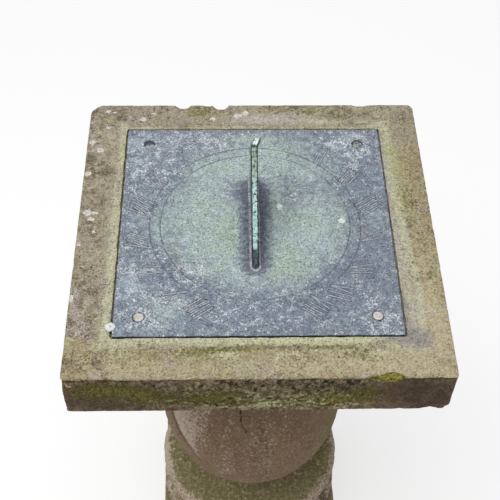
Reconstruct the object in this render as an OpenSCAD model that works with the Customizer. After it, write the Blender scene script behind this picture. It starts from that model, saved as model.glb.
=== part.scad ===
// Pedestal sundial: a horizontal dial plate let into a square stone cap on a turned stone baluster.
// Origin: centre of the plinth's underside, on the ground. +Z up, +Y towards the noon mark.

/* [Site] */
// Latitude that the dial is cut for, which sets the style's slope and every hour line
latitude = 53; // [35:1:60]
// First hour line, counted from midnight
first_hour = 4; // [4:1:9]
// Last hour line, counted from midnight
last_hour = 20; // [15:1:20]

/* [Heights] */
// Height of the cap's top above the ground
stand_h = 700; // [680:5:900]
// Thickness of the mortar joints above and below the baluster
joint_t = 6; // [3:1:10]

/* [Cap] */
// Side of the square cap
cap_w = 400; // [360:1:520]
// Thickness of the cap
cap_t = 62; // [52:1:100]

/* [Stone] */
// Radius of the worn edges of the cap and the plinth
edge_r = 4; // [2:0.5:8]
// How far the cut back left corner of the cap reaches along each side
corner_cut = 13; // [6:1:20]

/* [Dial plate] */
// Side of the square dial plate
plate_w = 303; // [298:1:370]
// Thickness of the dial plate
plate_t = 6; // [5:0.5:10]
// Radius of the dial plate's corners
plate_corner_r = 3; // [1:0.5:8]
// How far the plate's top stands above the stone
plate_proud = 0; // [0:0.5:3]
// Gap between the plate and the wall of its recess
plate_gap = 2; // [1.5:0.5:5]
// How far the plate lies north of the cap's centre
plate_shift = 3; // [0:1:10]
// Thickness of the mortar bed under the plate
bed_t = 2; // [1:0.5:4]
// Distance from the plate's edge to the mortar bed's edge
bed_margin = 10; // [5:1:20]

/* [Engraving] */
// Inner radius of the hour scale
scale_r_in = 106.5; // [96:0.5:110]
// Outer radius of the hour scale
scale_r_out = 118.5; // [112:0.5:124]
// Middle radius of the double rim line outside the numerals
rim_r = 146.5; // [134:0.5:147]
// Distance between the two rim lines
rim_gap = 3; // [2:0.5:6]
// Width of an engraved line
line_w = 0.8; // [0.4:0.1:1.5]
// Depth of an engraved line
line_depth = 0.5; // [0.2:0.1:1.2]

/* [Gnomon] */
// Thickness of the gnomon
gnomon_t = 8; // [5:0.5:12]
// Distance from the dial's centre south to the point where the style leaves the plate
style_start = 66; // [50:1:80]
// Horizontal run of the style, from its start to the kink
style_run = 81; // [50:1:90]
// Length of the flat nib beyond the kink
nib_l = 14; // [6:1:20]
// Length of the gnomon's foot
foot_l = 138; // [110:1:150]
// Radius of the hollow back edge
back_r = 120; // [100:5:200]
// Width of the solder bead round the foot
bead_w = 2.5; // [2:0.5:7]
// Height of the solder bead
bead_h = 1.4; // [1:0.1:3]
// Length of each tenon under the gnomon
tenon_l = 22; // [14:1:30]
// Distance from each end of the foot to its tenon
tenon_inset = 20; // [14:1:26]
// How far the tenons stand out below the plate
tenon_drop = 9; // [7:0.5:12]
// Diameter of the pins through the tenons
pin_d = 4; // [3:0.5:5]
// Length of the pins
pin_l = 24; // [16:1:30]

/* [Screws] */
// Distance from the plate's edge to a screw, on its east and west sides
screw_inset_x = 26.5; // [20:0.5:34]
// Distance from the plate's edge to a screw, on its north and south sides
screw_inset_y = 24.5; // [20:0.5:34]
// Diameter of a screw's head
head_d = 12; // [9:0.5:14]
// Height of a screw's countersunk head
head_h = 3; // [2:0.5:4]
// Diameter of a screw's shank
shank_d = 6; // [4:0.5:7]
// Length of a screw with its head
screw_l = 30; // [22:1:34]
// Width of the slot in a screw's head
slot_w = 1.4; // [1:0.1:2]
// Depth of the slot in a screw's head
slot_depth = 1.2; // [0.8:0.1:1.6]
// How far the back left screw is sunk below the plate's top
sunk_back_left = 2; // [0:0.5:2]
// How far the back right screw is sunk below the plate's top
sunk_back_right = 1; // [0:0.5:2]
// Diameter of a lead plug
plug_d = 14; // [12:0.5:18]
// Length of a lead plug
plug_l = 30; // [24:1:34]

/* [Baluster head and neck] */
// Radius of the round top of the baluster
head_r = 95; // [86:1:120]
// Height of the flat band round the head
head_band_h = 20; // [12:1:26]
// Radius of the quarter round under the band
ovolo_r = 20; // [14:1:22]
// Height of each narrow flat band between two mouldings
fillet_h = 6; // [4:1:8]
// Radius of the hollow under the head
head_hollow_r = 14; // [10:1:18]
// Radius of the bead's own round section at the top of the neck
neck_bead_r = 8; // [5:1:10]
// Radius of the neck
neck_r = 54; // [44:1:66]
// Radius of the hollow that leads the neck into the belly
shoulder_r = 60; // [40:1:70]

/* [Baluster belly and foot] */
// Greatest radius of the belly
belly_r = 123; // [108:1:150]
// Radius of the arc that shapes the belly from shoulder to waist
belly_arc_r = 175; // [150:5:190]
// Radius of the waist under the belly
waist_r = 62; // [52:1:74]
// Height of the collar bead at the waist
collar_h = 12; // [8:1:16]
// How far the collar bead stands out from the waist
collar_out = 10; // [6:1:14]
// Height of the plain waist between the collar and the foot
waist_h = 10; // [4:1:20]
// Radius of the sweep from the waist out to the foot
sweep_r = 28; // [18:1:34]
// Radius of the upper foot ring
foot_ring_r = 130; // [120:1:156]
// Height of the upper foot ring
foot_ring_h = 34; // [26:1:42]
// Height of the hollow band between the two foot rings
scotia_h = 38; // [28:1:46]
// How far the hollow band stands back from the upper foot ring
scotia_inset = 12; // [8:1:20]
// Radius of the lower foot ring
base_ring_r = 131.5; // [120:0.5:158]
// Height of the lower foot ring
base_ring_h = 31; // [24:1:40]

/* [Plinth] */
// Side of the square plinth
plinth_w = 266; // [266:1:340]
// Height of the plinth
plinth_t = 94; // [60:1:120]

/* [Dowels] */
// Diameter of the dowel between baluster and cap
cap_dowel_d = 16; // [12:1:20]
// Length of the dowel between baluster and cap
cap_dowel_l = 74; // [60:1:84]
// Diameter of the dowel between plinth and baluster
base_dowel_d = 20; // [14:1:24]
// Length of the dowel between plinth and baluster
base_dowel_l = 100; // [70:1:130]
// Thickness of the lead run in round each dowel
lead_t = 7; // [4:1:10]
// How far the mortar joints stand back from the stone's edge
joint_inset = 3; // [1:1:6]

/* [Clearances] */
// Clearance of a tenon in its slot, and of a dowel or screw in a plain hole
slip = 0.3; // [0.1:0.1:0.6]
// Room left round pieces that lie in the pocket under the plate
pocket_room = 3; // [2:0.5:6]

/* [Hidden] */
$fn = 96;
over = 1; // how far a cutting shape runs past the face it cuts

// breaks in the cap's edges, each the bite of a ball: how far east of the middle it is, how far the
// ball's centre stands out from the cap's side, how far it is above the edge, and its radius
front_top_breaks = [[131, 16, 2, 24]];
front_bottom_breaks = [[-30, 9, -7, 12], [100, 9, -6, 16], [125, 8, -7, 11], [144, 7, -6, 9]];
back_top_breaks = [[-86, 16, 8, 20], [-42, 5, 4, 13], [41, 30, 14, 36], [134, 28, 14, 34]];

// heights above the ground, from the plinth up
baluster_base = plinth_t + joint_t;
scotia_z = baluster_base + base_ring_h;
foot_ring_z = scotia_z + scotia_h;
foot_top = foot_ring_z + foot_ring_h;
waist_z = foot_top + waist_h + collar_h / 2;
belly_cx = belly_r - belly_arc_r;
belly_z = waist_z + sqrt(pow(belly_arc_r, 2) - pow(waist_r - belly_cx, 2));

// heights above the ground, from the cap's top down
cap_z = stand_h - cap_t;
baluster_top = cap_z - joint_t;
plate_top = stand_h + plate_proud;
plate_under = plate_top - plate_t;
bed_under = plate_under - bed_t;

// the dowels stand half in each stone, less the mortar between
base_hole_z = baluster_base - base_dowel_l / 2;
cap_hole_z = baluster_top - cap_dowel_l / 2;

// the dial: the style leaves the plate at origin_y, where the hour lines would meet
dial_y = plate_shift;
origin_y = dial_y - style_start;
kink_y = origin_y + style_run;
kink_h = style_run * tan(latitude);
heel_y = origin_y + foot_l;
tenon_toe_y = origin_y + tenon_inset;
tenon_heel_y = heel_y - tenon_inset - tenon_l;
noon = 12;

// the pocket in the cap that holds the tenons and their pins
pocket_w = pin_l + 2 * pocket_room;
pocket_under = plate_under - tenon_drop - pocket_room;
pin_z = plate_under - pin_d / 2;

// Angle of an hour line from the noon line, clockwise seen from above
function hour_angle(h) =
    let (turn = 15 * (h - noon))
    atan2(sin(latitude) * sin(turn), cos(turn));

// Centre of a screw in plan; east and north are 1 or -1
function screw_at(east, north) =
    [east * (plate_w / 2 - screw_inset_x), dial_y + north * (plate_w / 2 - screw_inset_y)];

// A rectangle with round corners, centred
module rounded_square(w, d, r) {
    square([w, d - 2 * r], center = true);
    square([w - 2 * r, d], center = true);
    for (x = [-1, 1], y = [-1, 1])
        translate([x * (w / 2 - r), y * (d / 2 - r)]) circle(r);
}

// A square block standing on z = 0, with every arris worn round
module worn_block(w, t, r) {
    intersection() {
        linear_extrude(t) rounded_square(w, w, r);
        translate([0, w / 2, t / 2]) rotate([90, 0, 0]) linear_extrude(w) rounded_square(w, t, r);
        translate([-w / 2, 0, t / 2]) rotate([90, 0, 90]) linear_extrude(w) rounded_square(w, t, r);
    }
}

// A round hole or peg on the stand's axis, from z up by h
module axis_cylinder(r, z, h) {
    translate([0, 0, z]) cylinder(r = r, h = h);
}

module plinth() {
    color("#8c8270") difference() {
        worn_block(plinth_w, plinth_t, edge_r);
        axis_cylinder(base_dowel_d / 2 + lead_t, base_hole_z, plinth_t);
    }
}

module base_joint() {
    color("#a39b8a") difference() {
        axis_cylinder(base_ring_r - base_ring_h / 2 - joint_inset, plinth_t, joint_t);
        axis_cylinder(base_dowel_d / 2 + slip, plinth_t - over, joint_t + 2 * over);
    }
}

module base_dowel() {
    color("#4a4038") axis_cylinder(base_dowel_d / 2, base_hole_z, base_dowel_l);
}

module base_dowel_lead() {
    color("#6e7076") difference() {
        axis_cylinder(base_dowel_d / 2 + lead_t, base_hole_z, plinth_t - base_hole_z);
        axis_cylinder(base_dowel_d / 2, base_hole_z - over, plinth_t);
    }
}

// Parts of the turned profile, drawn on the right of the axis

// A flat band
module band_section(r, z, h) {
    translate([0, z]) square([r, h]);
}

// A half-round ring of height h that stands on z
module ring_section(r, z, h) {
    translate([r - h / 2, z + h / 2]) circle(h / 2);
    band_section(r - h / 2, z, h);
}

// A hollow that sweeps out by rad from radius r, going up to z or, turned over, down to z
module hollow_section(r, z, rad, up) {
    difference() {
        translate([0, up ? z - rad : z]) square([r + rad, rad]);
        translate([r + rad, up ? z - rad : z + rad]) circle(rad);
    }
}

module head_section() {
    ovolo_z = baluster_top - head_band_h - ovolo_r;
    fillet_z = ovolo_z - fillet_h;
    bead_z = fillet_z - head_hollow_r - 2 * neck_bead_r;
    band_section(head_r, ovolo_z + ovolo_r, head_band_h);
    band_section(head_r - ovolo_r, ovolo_z, ovolo_r);
    intersection() {
        translate([head_r - ovolo_r, ovolo_z + ovolo_r]) circle(ovolo_r);
        band_section(head_r, ovolo_z, ovolo_r);
    }
    band_section(neck_r + head_hollow_r, fillet_z, fillet_h);
    hollow_section(neck_r, fillet_z, head_hollow_r, true);
    ring_section(neck_r + neck_bead_r, bead_z, 2 * neck_bead_r);
    band_section(neck_r, belly_z, ovolo_z - belly_z);
}

// The belly is one arc, and the shoulder's hollow touches both it and the neck
module belly_section() {
    reach = belly_arc_r + shoulder_r;
    hollow_x = neck_r + shoulder_r;
    hollow_z = belly_z + sqrt(pow(reach, 2) - pow(hollow_x - belly_cx, 2));
    touch = belly_arc_r / reach;
    touch_r = belly_cx + (hollow_x - belly_cx) * touch;
    touch_z = belly_z + (hollow_z - belly_z) * touch;
    difference() {
        band_section(touch_r, touch_z, hollow_z - touch_z);
        translate([hollow_x, hollow_z]) circle(shoulder_r);
    }
    intersection() {
        translate([belly_cx, belly_z]) circle(belly_arc_r);
        band_section(belly_r + over, waist_z, touch_z - waist_z);
    }
}

module foot_section() {
    scotia_r = foot_ring_r - scotia_inset;
    ring_section(waist_r + collar_out, waist_z - collar_h / 2, collar_h);
    band_section(waist_r, foot_top, waist_z - foot_top);
    hollow_section(waist_r, foot_top, sweep_r, false);
    ring_section(foot_ring_r, foot_ring_z, foot_ring_h);
    difference() {
        band_section(scotia_r, scotia_z, scotia_h);
        translate([scotia_r, scotia_z + scotia_h / 2]) circle(scotia_h / 2 - fillet_h);
    }
    ring_section(base_ring_r, baluster_base, base_ring_h);
}

module baluster() {
    color("#857a68") difference() {
        rotate_extrude() union() {
            head_section();
            belly_section();
            foot_section();
        }
        axis_cylinder(base_dowel_d / 2 + slip, baluster_base - over, base_dowel_l / 2 + over + slip);
        axis_cylinder(cap_dowel_d / 2 + lead_t, cap_hole_z, cap_dowel_l);
    }
}

module cap_joint() {
    color("#a39b8a") difference() {
        axis_cylinder(head_r - joint_inset, baluster_top, joint_t);
        axis_cylinder(cap_dowel_d / 2 + slip, baluster_top - over, joint_t + 2 * over);
    }
}

module cap_dowel() {
    color("#4a4038") axis_cylinder(cap_dowel_d / 2, cap_hole_z, cap_dowel_l);
}

module cap_dowel_lead() {
    color("#6e7076") difference() {
        axis_cylinder(cap_dowel_d / 2 + lead_t, cap_hole_z, baluster_top - cap_hole_z);
        axis_cylinder(cap_dowel_d / 2, cap_hole_z - over, cap_dowel_l);
    }
}

// Breaks in an edge of the cap's south side (side -1) or north side (side 1), at height z
module edge_breaks(list, side, z) {
    for (b = list) translate([b[0], side * (cap_w / 2 + b[1]), z + b[2]]) sphere(b[3]);
}

module cap_chips() {
    edge_breaks(front_top_breaks, -1, stand_h);
    edge_breaks(front_bottom_breaks, -1, cap_z);
    edge_breaks(back_top_breaks, 1, stand_h);
    // the front right corner is knocked off below, the front left corner chipped under the top
    translate([cap_w / 2 + 8, -cap_w / 2 - 3, cap_z - 8]) sphere(22);
    translate([-cap_w / 2 - 5, -cap_w / 2 - 4, stand_h - 11]) sphere(13);
    // the back left corner is cut away from top to bottom
    cut_w = corner_cut * sqrt(2);
    translate([-cap_w / 2, cap_w / 2, cap_z - over]) rotate(45)
        translate([-cut_w / 2, -cut_w / 2, 0]) cube([cut_w, cut_w, cap_t + 2 * over]);
}

module cap_slab() {
    recess_w = plate_w + 2 * plate_gap;
    color("#9a917b") difference() {
        translate([0, 0, cap_z]) worn_block(cap_w, cap_t, edge_r);
        translate([0, dial_y, bed_under])
            linear_extrude(cap_t) rounded_square(recess_w, recess_w, plate_corner_r + plate_gap);
        tenon_pocket(pocket_under);
        screw_places() translate([0, 0, bed_under - plug_l]) cylinder(d = plug_d, h = cap_t);
        axis_cylinder(cap_dowel_d / 2 + slip, cap_z - over, cap_hole_z + cap_dowel_l + slip - cap_z + over);
        cap_chips();
    }
}

// The pocket runs from just south of the toe's tenon to just north of the heel's
module tenon_pocket(z) {
    south = tenon_toe_y - pocket_room;
    north = tenon_heel_y + tenon_l + pocket_room;
    translate([-pocket_w / 2, south, z]) cube([pocket_w, north - south, cap_t]);
}

module screw_places() {
    for (east = [-1, 1], north = [-1, 1]) translate(screw_at(east, north)) children();
}

module plate_bed() {
    bed_w = plate_w - 2 * bed_margin;
    color("#b5ae9d") difference() {
        translate([-bed_w / 2, dial_y - bed_w / 2, bed_under]) cube([bed_w, bed_w, bed_t]);
        tenon_pocket(bed_under - over);
        screw_places() translate([0, 0, bed_under - over]) cylinder(d = plug_d, h = bed_t + 2 * over);
    }
}

// A circle one line wide
module engraved_circle(r) {
    difference() {
        circle(r + line_w / 2);
        circle(r - line_w / 2);
    }
}

// Hour lines fan out from the two edges of the style, the mornings' from its west edge, so that
// noon is a gap between two lines, as wide as the gnomon is thick
module hour_lines() {
    reach = plate_w;
    intersection() {
        difference() {
            circle(scale_r_out);
            circle(scale_r_in);
        }
        translate([0, -style_start]) union() {
            for (h = [first_hour : last_hour]) {
                side = h < noon ? -1 : 1;
                if (h != noon)
                    translate([side * gnomon_t / 2, 0]) rotate(-hour_angle(h))
                        translate([-line_w / 2, 0]) square([line_w, reach]);
            }
            for (side = [-1, 1])
                translate([side * gnomon_t / 2 - line_w / 2, 0]) square([line_w, reach]);
        }
    }
}

module dial_plate() {
    color("#5d7480") difference() {
        translate([0, dial_y, plate_under])
            linear_extrude(plate_t) rounded_square(plate_w, plate_w, plate_corner_r);
        translate([0, dial_y, plate_top - line_depth]) linear_extrude(line_depth + over) {
            engraved_circle(scale_r_in);
            engraved_circle(scale_r_out);
            engraved_circle(rim_r - rim_gap / 2);
            engraved_circle(rim_r + rim_gap / 2);
            hour_lines();
        }
        for (y = [tenon_toe_y, tenon_heel_y])
            translate([-gnomon_t / 2 - slip, y - slip, plate_under - over])
                cube([gnomon_t + 2 * slip, tenon_l + 2 * slip, plate_t + 2 * over]);
        screw_hole(-1, -1, 0);
        screw_hole(1, -1, 0);
        screw_hole(-1, 1, sunk_back_left);
        screw_hole(1, 1, sunk_back_right);
    }
}

// A countersunk hole whose cone is the screw head's own, with a straight mouth above a sunk head
module screw_hole(east, north, sunk) {
    translate(screw_at(east, north)) {
        translate([0, 0, plate_under - over]) cylinder(d = shank_d + 2 * slip, h = plate_t + over);
        translate([0, 0, plate_top - sunk - head_h]) cylinder(d1 = shank_d, d2 = head_d, h = head_h);
        translate([0, 0, plate_top - sunk]) cylinder(d = head_d, h = sunk + over);
    }
}

// A countersunk wood screw, its head's top at the origin
module screw_body() {
    tip = shank_d;
    translate([0, 0, -head_h]) cylinder(d1 = shank_d, d2 = head_d, h = head_h);
    translate([0, 0, -screw_l + tip]) cylinder(d = shank_d, h = screw_l - tip - head_h);
    translate([0, 0, -screw_l]) cylinder(d1 = 1, d2 = shank_d, h = tip);
}

module screw(east, north, sunk, turn) {
    color("#b8ada2") translate(screw_at(east, north)) translate([0, 0, plate_top - sunk])
        difference() {
            screw_body();
            rotate(turn) translate([-head_d, -slot_w / 2, -slot_depth])
                cube([2 * head_d, slot_w, slot_depth + over]);
        }
}

module plug(east, north, sunk) {
    color("#6e7076") translate(screw_at(east, north)) difference() {
        translate([0, 0, bed_under - plug_l]) cylinder(d = plug_d, h = plug_l + bed_t);
        translate([0, 0, plate_top - sunk]) screw_body();
    }
}

// The gnomon from the side: the style rises at the latitude, then a flat nib, then a hollow back
module gnomon_outline() {
    nib_y = kink_y + nib_l;
    back_dy = heel_y - nib_y;
    half = sqrt(pow(back_dy, 2) + pow(kink_h, 2)) / 2;
    sag = sqrt(pow(back_r, 2) - pow(half, 2));
    along = [back_dy, -kink_h] / (2 * half);
    difference() {
        polygon([[origin_y, 0], [kink_y, kink_h], [nib_y, kink_h], [heel_y, 0]]);
        translate([(nib_y + heel_y) / 2 - along[1] * sag, kink_h / 2 + along[0] * sag]) circle(back_r);
    }
}

module gnomon() {
    color("#6fae9d") {
        translate([0, 0, plate_top]) intersection() {
            translate([-gnomon_t / 2, 0, 0]) rotate([90, 0, 90]) linear_extrude(gnomon_t) gnomon_outline();
            union() {
                translate([0, origin_y + gnomon_t / 2, 0]) cylinder(d = gnomon_t, h = kink_h + over);
                translate([-gnomon_t / 2, origin_y + gnomon_t / 2, 0])
                    cube([gnomon_t, foot_l, kink_h + over]);
            }
        }
        gnomon_tenon(tenon_toe_y);
        gnomon_tenon(tenon_heel_y);
    }
}

module gnomon_tenon(y) {
    difference() {
        translate([-gnomon_t / 2, y, plate_under - tenon_drop])
            cube([gnomon_t, tenon_l, plate_t + tenon_drop]);
        translate([-gnomon_t, y + tenon_l / 2, pin_z]) rotate([0, 90, 0])
            cylinder(d = pin_d, h = 2 * gnomon_t);
    }
}

module gnomon_pin(y) {
    color("#a8763e") translate([-pin_l / 2, y + tenon_l / 2, pin_z]) rotate([0, 90, 0])
        cylinder(d = pin_d, h = pin_l);
}

// Cross-section of the solder bead: a low round-topped strip
module bead_section() {
    bead_r = (pow(bead_w, 2) + pow(bead_h, 2)) / (2 * bead_h);
    intersection() {
        translate([0, bead_h - bead_r]) circle(bead_r);
        square([bead_w, bead_h]);
    }
}

module gnomon_bead() {
    toe_y = origin_y + gnomon_t / 2;
    run = heel_y - toe_y;
    color("#a9979a") translate([0, 0, plate_top]) {
        translate([0, toe_y, 0]) rotate([0, 0, 180]) rotate_extrude(angle = 180)
            translate([gnomon_t / 2, 0]) bead_section();
        for (side = [0, 1]) mirror([side, 0, 0]) {
            translate([gnomon_t / 2, heel_y, 0]) rotate([90, 0, 0]) linear_extrude(run) bead_section();
            translate([gnomon_t / 2, heel_y, 0]) rotate_extrude(angle = 90) bead_section();
        }
        translate([-gnomon_t / 2, heel_y, 0]) rotate([90, 0, 90]) linear_extrude(gnomon_t) bead_section();
    }
}

plinth();
base_joint();
base_dowel();
base_dowel_lead();
baluster();
cap_joint();
cap_dowel();
cap_dowel_lead();
cap_slab();
plate_bed();
dial_plate();
gnomon();
gnomon_bead();
gnomon_pin(tenon_toe_y);  // gnomon_pin_toe
gnomon_pin(tenon_heel_y);  // gnomon_pin_heel
screw(-1, -1, 0, 25);  // screw_front_left
screw(1, -1, 0, 110);  // screw_front_right
screw(-1, 1, sunk_back_left, 70);  // screw_back_left
screw(1, 1, sunk_back_right, -20);  // screw_back_right
plug(-1, -1, 0);  // plug_front_left
plug(1, -1, 0);  // plug_front_right
plug(-1, 1, sunk_back_left);  // plug_back_left
plug(1, 1, sunk_back_right);  // plug_back_right
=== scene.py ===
import math

import bpy
import numpy as np
from mathutils import Matrix, Vector


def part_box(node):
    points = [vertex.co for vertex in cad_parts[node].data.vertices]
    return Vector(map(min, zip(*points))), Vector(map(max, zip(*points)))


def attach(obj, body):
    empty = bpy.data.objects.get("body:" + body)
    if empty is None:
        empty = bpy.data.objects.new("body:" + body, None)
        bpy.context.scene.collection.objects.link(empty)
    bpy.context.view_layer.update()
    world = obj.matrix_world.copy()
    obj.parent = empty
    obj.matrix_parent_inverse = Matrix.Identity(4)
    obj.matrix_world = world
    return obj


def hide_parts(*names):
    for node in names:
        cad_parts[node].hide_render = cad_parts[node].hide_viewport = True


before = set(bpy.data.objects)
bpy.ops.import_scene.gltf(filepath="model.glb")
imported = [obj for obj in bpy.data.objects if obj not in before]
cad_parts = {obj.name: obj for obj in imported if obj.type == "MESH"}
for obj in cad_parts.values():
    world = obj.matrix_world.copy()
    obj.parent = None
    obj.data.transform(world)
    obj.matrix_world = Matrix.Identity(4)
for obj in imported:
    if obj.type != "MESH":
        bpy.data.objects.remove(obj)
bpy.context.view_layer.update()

# A pedestal sundial: bronze dial plate and gnomon in a mossy stone cap, on a turned stone baluster.
# Shapes are worked out in millimetres and put into meshes in metres, in the frame's own place.

mm = 0.001


def boxOf(node):
    # the low and high corners of a node, in millimetres
    return [np.array(corner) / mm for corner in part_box(node)]


slabLow, slabHigh = boxOf("cap_slab")
plateLow, plateHigh = boxOf("dial_plate")
finLow, finHigh = boxOf("gnomon")
shaftLow, shaftHigh = boxOf("baluster")
plinthLow, plinthHigh = boxOf("plinth")
slabTop = slabHigh[2]
plateTop = plateHigh[2]
plateMidY = (plateLow[1] + plateHigh[1]) / 2


# Numbers and noise; a size is in millimetres, and each use of noise has a seed of its own

def ease(low, high, value):
    # 0 at low, 1 at high and 3t²-2t³ between, also where low is the greater of the two
    t = np.clip((value - low) / (high - low), 0, 1)
    return t * t * (3 - 2 * t)


def latticeValue(ix, iy, iz, seed):
    # one number from 0 to 1 for each whole-number point, mixed by products and shifts of its counts
    n = (ix * 374761393 + iy * 668265263 + iz * 1440662683 + seed * 982451653) & 0xFFFFFFFF
    n = ((n ^ (n >> 13)) * 1274126177) & 0xFFFFFFFF
    return (n ^ (n >> 16)) / 4294967295.0


def cloud(points, size, seed):
    # smooth noise from 0 to 1: the eight corner values of a cell of that size, blended by 3t²-2t³
    q = points / size
    low = np.floor(q).astype(np.int64)
    t = q - low
    t = t * t * (3 - 2 * t)
    total = np.zeros(points.shape[:-1])
    for dx in (0, 1):
        wx = t[..., 0] if dx else 1 - t[..., 0]
        for dy in (0, 1):
            wy = t[..., 1] if dy else 1 - t[..., 1]
            for dz in (0, 1):
                wz = t[..., 2] if dz else 1 - t[..., 2]
                corner = latticeValue(low[..., 0] + dx, low[..., 1] + dy, low[..., 2] + dz, seed)
                total += wx * wy * wz * corner
    return total


def rough(points, size, octaves, seed):
    # noise from about -1 to 1: octaves of cloud, each half the size and 0.55 times the strength
    total = np.zeros(points.shape[:-1])
    reach = 0
    for k in range(octaves):
        power = 0.55 ** k
        total += power * (2 * cloud(points, size / 2 ** k, seed + k) - 1)
        reach += power
    return total / reach * 1.6


def spots(x, y, places):
    # a sum of bell shapes; each place is its centre, its half widths in x and y, and its strength
    total = np.zeros_like(x)
    for centreX, centreY, wideX, wideY, power in places:
        total += power * np.exp(-((x - centreX) / wideX) ** 2 - ((y - centreY) / wideY) ** 2)
    return total


# Meshes

def gridNormals(rings):
    # the cross product of the steps round a ring and from ring to ring, one unit vector for a point
    across = np.roll(rings, -1, 1) - np.roll(rings, 1, 1)
    along = np.gradient(rings, axis=0)
    normal = np.cross(across, along)
    length = np.linalg.norm(normal, axis=2, keepdims=True)
    return normal / np.maximum(length, 1e-9)


def level(loop, z):
    # a plan outline's points, all at one height
    return np.column_stack([loop, np.full(len(loop), z)])


def peaks(points, size, octaves, seed, above=0.0):
    # the part of the noise over a level, from 0 to 1
    return np.clip(rough(points, size, octaves, seed) - above, 0, 1)


def outwardNormals(rings, middleZ):
    # the normals, each turned away from the axis point at the middle height
    normal = gridNormals(rings)
    away = rings - np.array([0, 0, middleZ])
    return normal * np.sign((normal * away).sum(2) + 1e-9)[..., None]


def ringFaces(count, around, hoop):
    # quads between neighbouring rings; a hoop's last ring meets its first, and else a fan of
    # triangles goes from the first and the last ring to the two poles, numbered after all rings
    i = np.arange(count if hoop else count - 1)[:, None] * around
    after = (i + around) % (count * around)
    j = np.arange(around)[None, :]
    k = (j + 1) % around
    quads = np.stack([i + j, i + k, after + k, after + j], 2).reshape(-1, 4)
    if hoop:
        return quads, np.zeros((0, 3), int)
    j, k = j[0], k[0]
    poles, last = count * around, (count - 1) * around
    fans = np.concatenate([np.stack([np.full(around, poles), k, j], 1),
                           np.stack([np.full(around, poles + 1), last + j, last + k], 1)])
    return quads, fans


def makePiece(name, shells, material, nodes=(), fields=None, hoop=False):
    # each shell is a stack of closed rings in millimetres; its volume is the sum of a x b . c over
    # its faces, and where that comes out negative the faces are turned round; fields hold the first
    # shell's values, a pole has its ring's mean, and the other shells get zeros
    points, loops, sizes = [], [], []
    first = 0
    for rings in shells:
        whole = rings.reshape(-1, 3)
        if not hoop:
            whole = np.concatenate([whole, [rings[0].mean(0), rings[-1].mean(0)]])
        quads, fans = ringFaces(*rings.shape[:2], hoop)
        a, b, c, d = (whole[quads[:, k]] for k in range(4))
        e, f, g = (whole[fans[:, k]] for k in range(3))
        volume = (np.cross(a, b) * c).sum() + (np.cross(a, c) * d).sum() + (np.cross(e, f) * g).sum()
        if volume < 0:
            quads, fans = quads[:, ::-1], fans[:, ::-1]
        points.append(whole)
        loops += [(quads + first).ravel(), (fans + first).ravel()]
        sizes += [np.full(len(quads), 4), np.full(len(fans), 3)]
        first += len(whole)
    points = np.concatenate(points) * mm
    loops = np.concatenate(loops)
    sizes = np.concatenate(sizes)
    mesh = bpy.data.meshes.new(name)
    mesh.vertices.add(len(points))
    mesh.vertices.foreach_set("co", points.ravel())
    mesh.loops.add(len(loops))
    mesh.loops.foreach_set("vertex_index", loops)
    mesh.polygons.add(len(sizes))
    mesh.polygons.foreach_set("loop_start", np.concatenate([[0], np.cumsum(sizes)[:-1]]))
    mesh.update(calc_edges=True)
    mesh.shade_smooth()
    mesh.materials.append(material)
    for field, values in (fields or {}).items():
        whole = np.zeros(len(points), np.float32)
        ends = [values[0].mean(), values[-1].mean()]
        whole[:values.size + 2] = np.concatenate([values.ravel(), ends])
        mesh.attributes.new(field, "FLOAT", "POINT").data.foreach_set("value", whole)
    piece = bpy.data.objects.new(name, mesh)
    bpy.context.scene.collection.objects.link(piece)
    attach(piece, "root")
    if nodes:
        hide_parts(*nodes)
    print("made", name, len(points), "points")


def squareLoop(half, corner, sidePoints, cornerPoints):
    # one quarter is a straight side going north and a corner turning left; the rest are its turns
    run = np.linspace(corner - half, half - corner, sidePoints, endpoint=False)
    side = np.stack([np.full(sidePoints, half), run], 1)
    turn = np.linspace(0, math.pi / 2, cornerPoints, endpoint=False)
    bend = half - corner + corner * np.stack([np.cos(turn), np.sin(turn)], 1)
    quarter = np.concatenate([side, bend])
    x, y = quarter.T
    return np.concatenate([quarter, np.stack([-y, x], 1), -quarter, np.stack([y, -x], 1)])


def revolve(profile, around, phase=0.0):
    # each profile point is a radius and a height, carried once round the stand's axis
    turn = phase + np.linspace(0, 2 * math.pi, around, endpoint=False)
    radius = profile[:, 0][:, None]
    height = np.broadcast_to(profile[:, 1][:, None], (len(profile), around))
    return np.stack([radius * np.cos(turn), radius * np.sin(turn), height], 2)


def evenly(line, step):
    # points at equal steps along a line of points, by its summed length
    length = np.concatenate([[0], np.cumsum(np.linalg.norm(np.diff(line, axis=0), axis=1))])
    places = np.linspace(0, length[-1], max(2, int(length[-1] / step)))
    return np.stack([np.interp(places, length, line[:, k]) for k in range(line.shape[1])], 1)


def bite(points, balls, wobble, seed):
    # each ball is a centre and a radius: points inside it are pushed out to its uneven surface
    for n, (cx, cy, cz, radius) in enumerate(balls):
        away = points - np.array([cx, cy, cz])
        distance = np.linalg.norm(away, axis=-1)
        wall = radius * (1 + wobble * rough(points, radius * 0.45, 3, seed + 7 * n))
        inside = distance < wall
        points[inside] += away[inside] * ((wall / np.maximum(distance, 1e-6))[inside] - 1)[:, None]
    return points


# Materials

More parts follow.
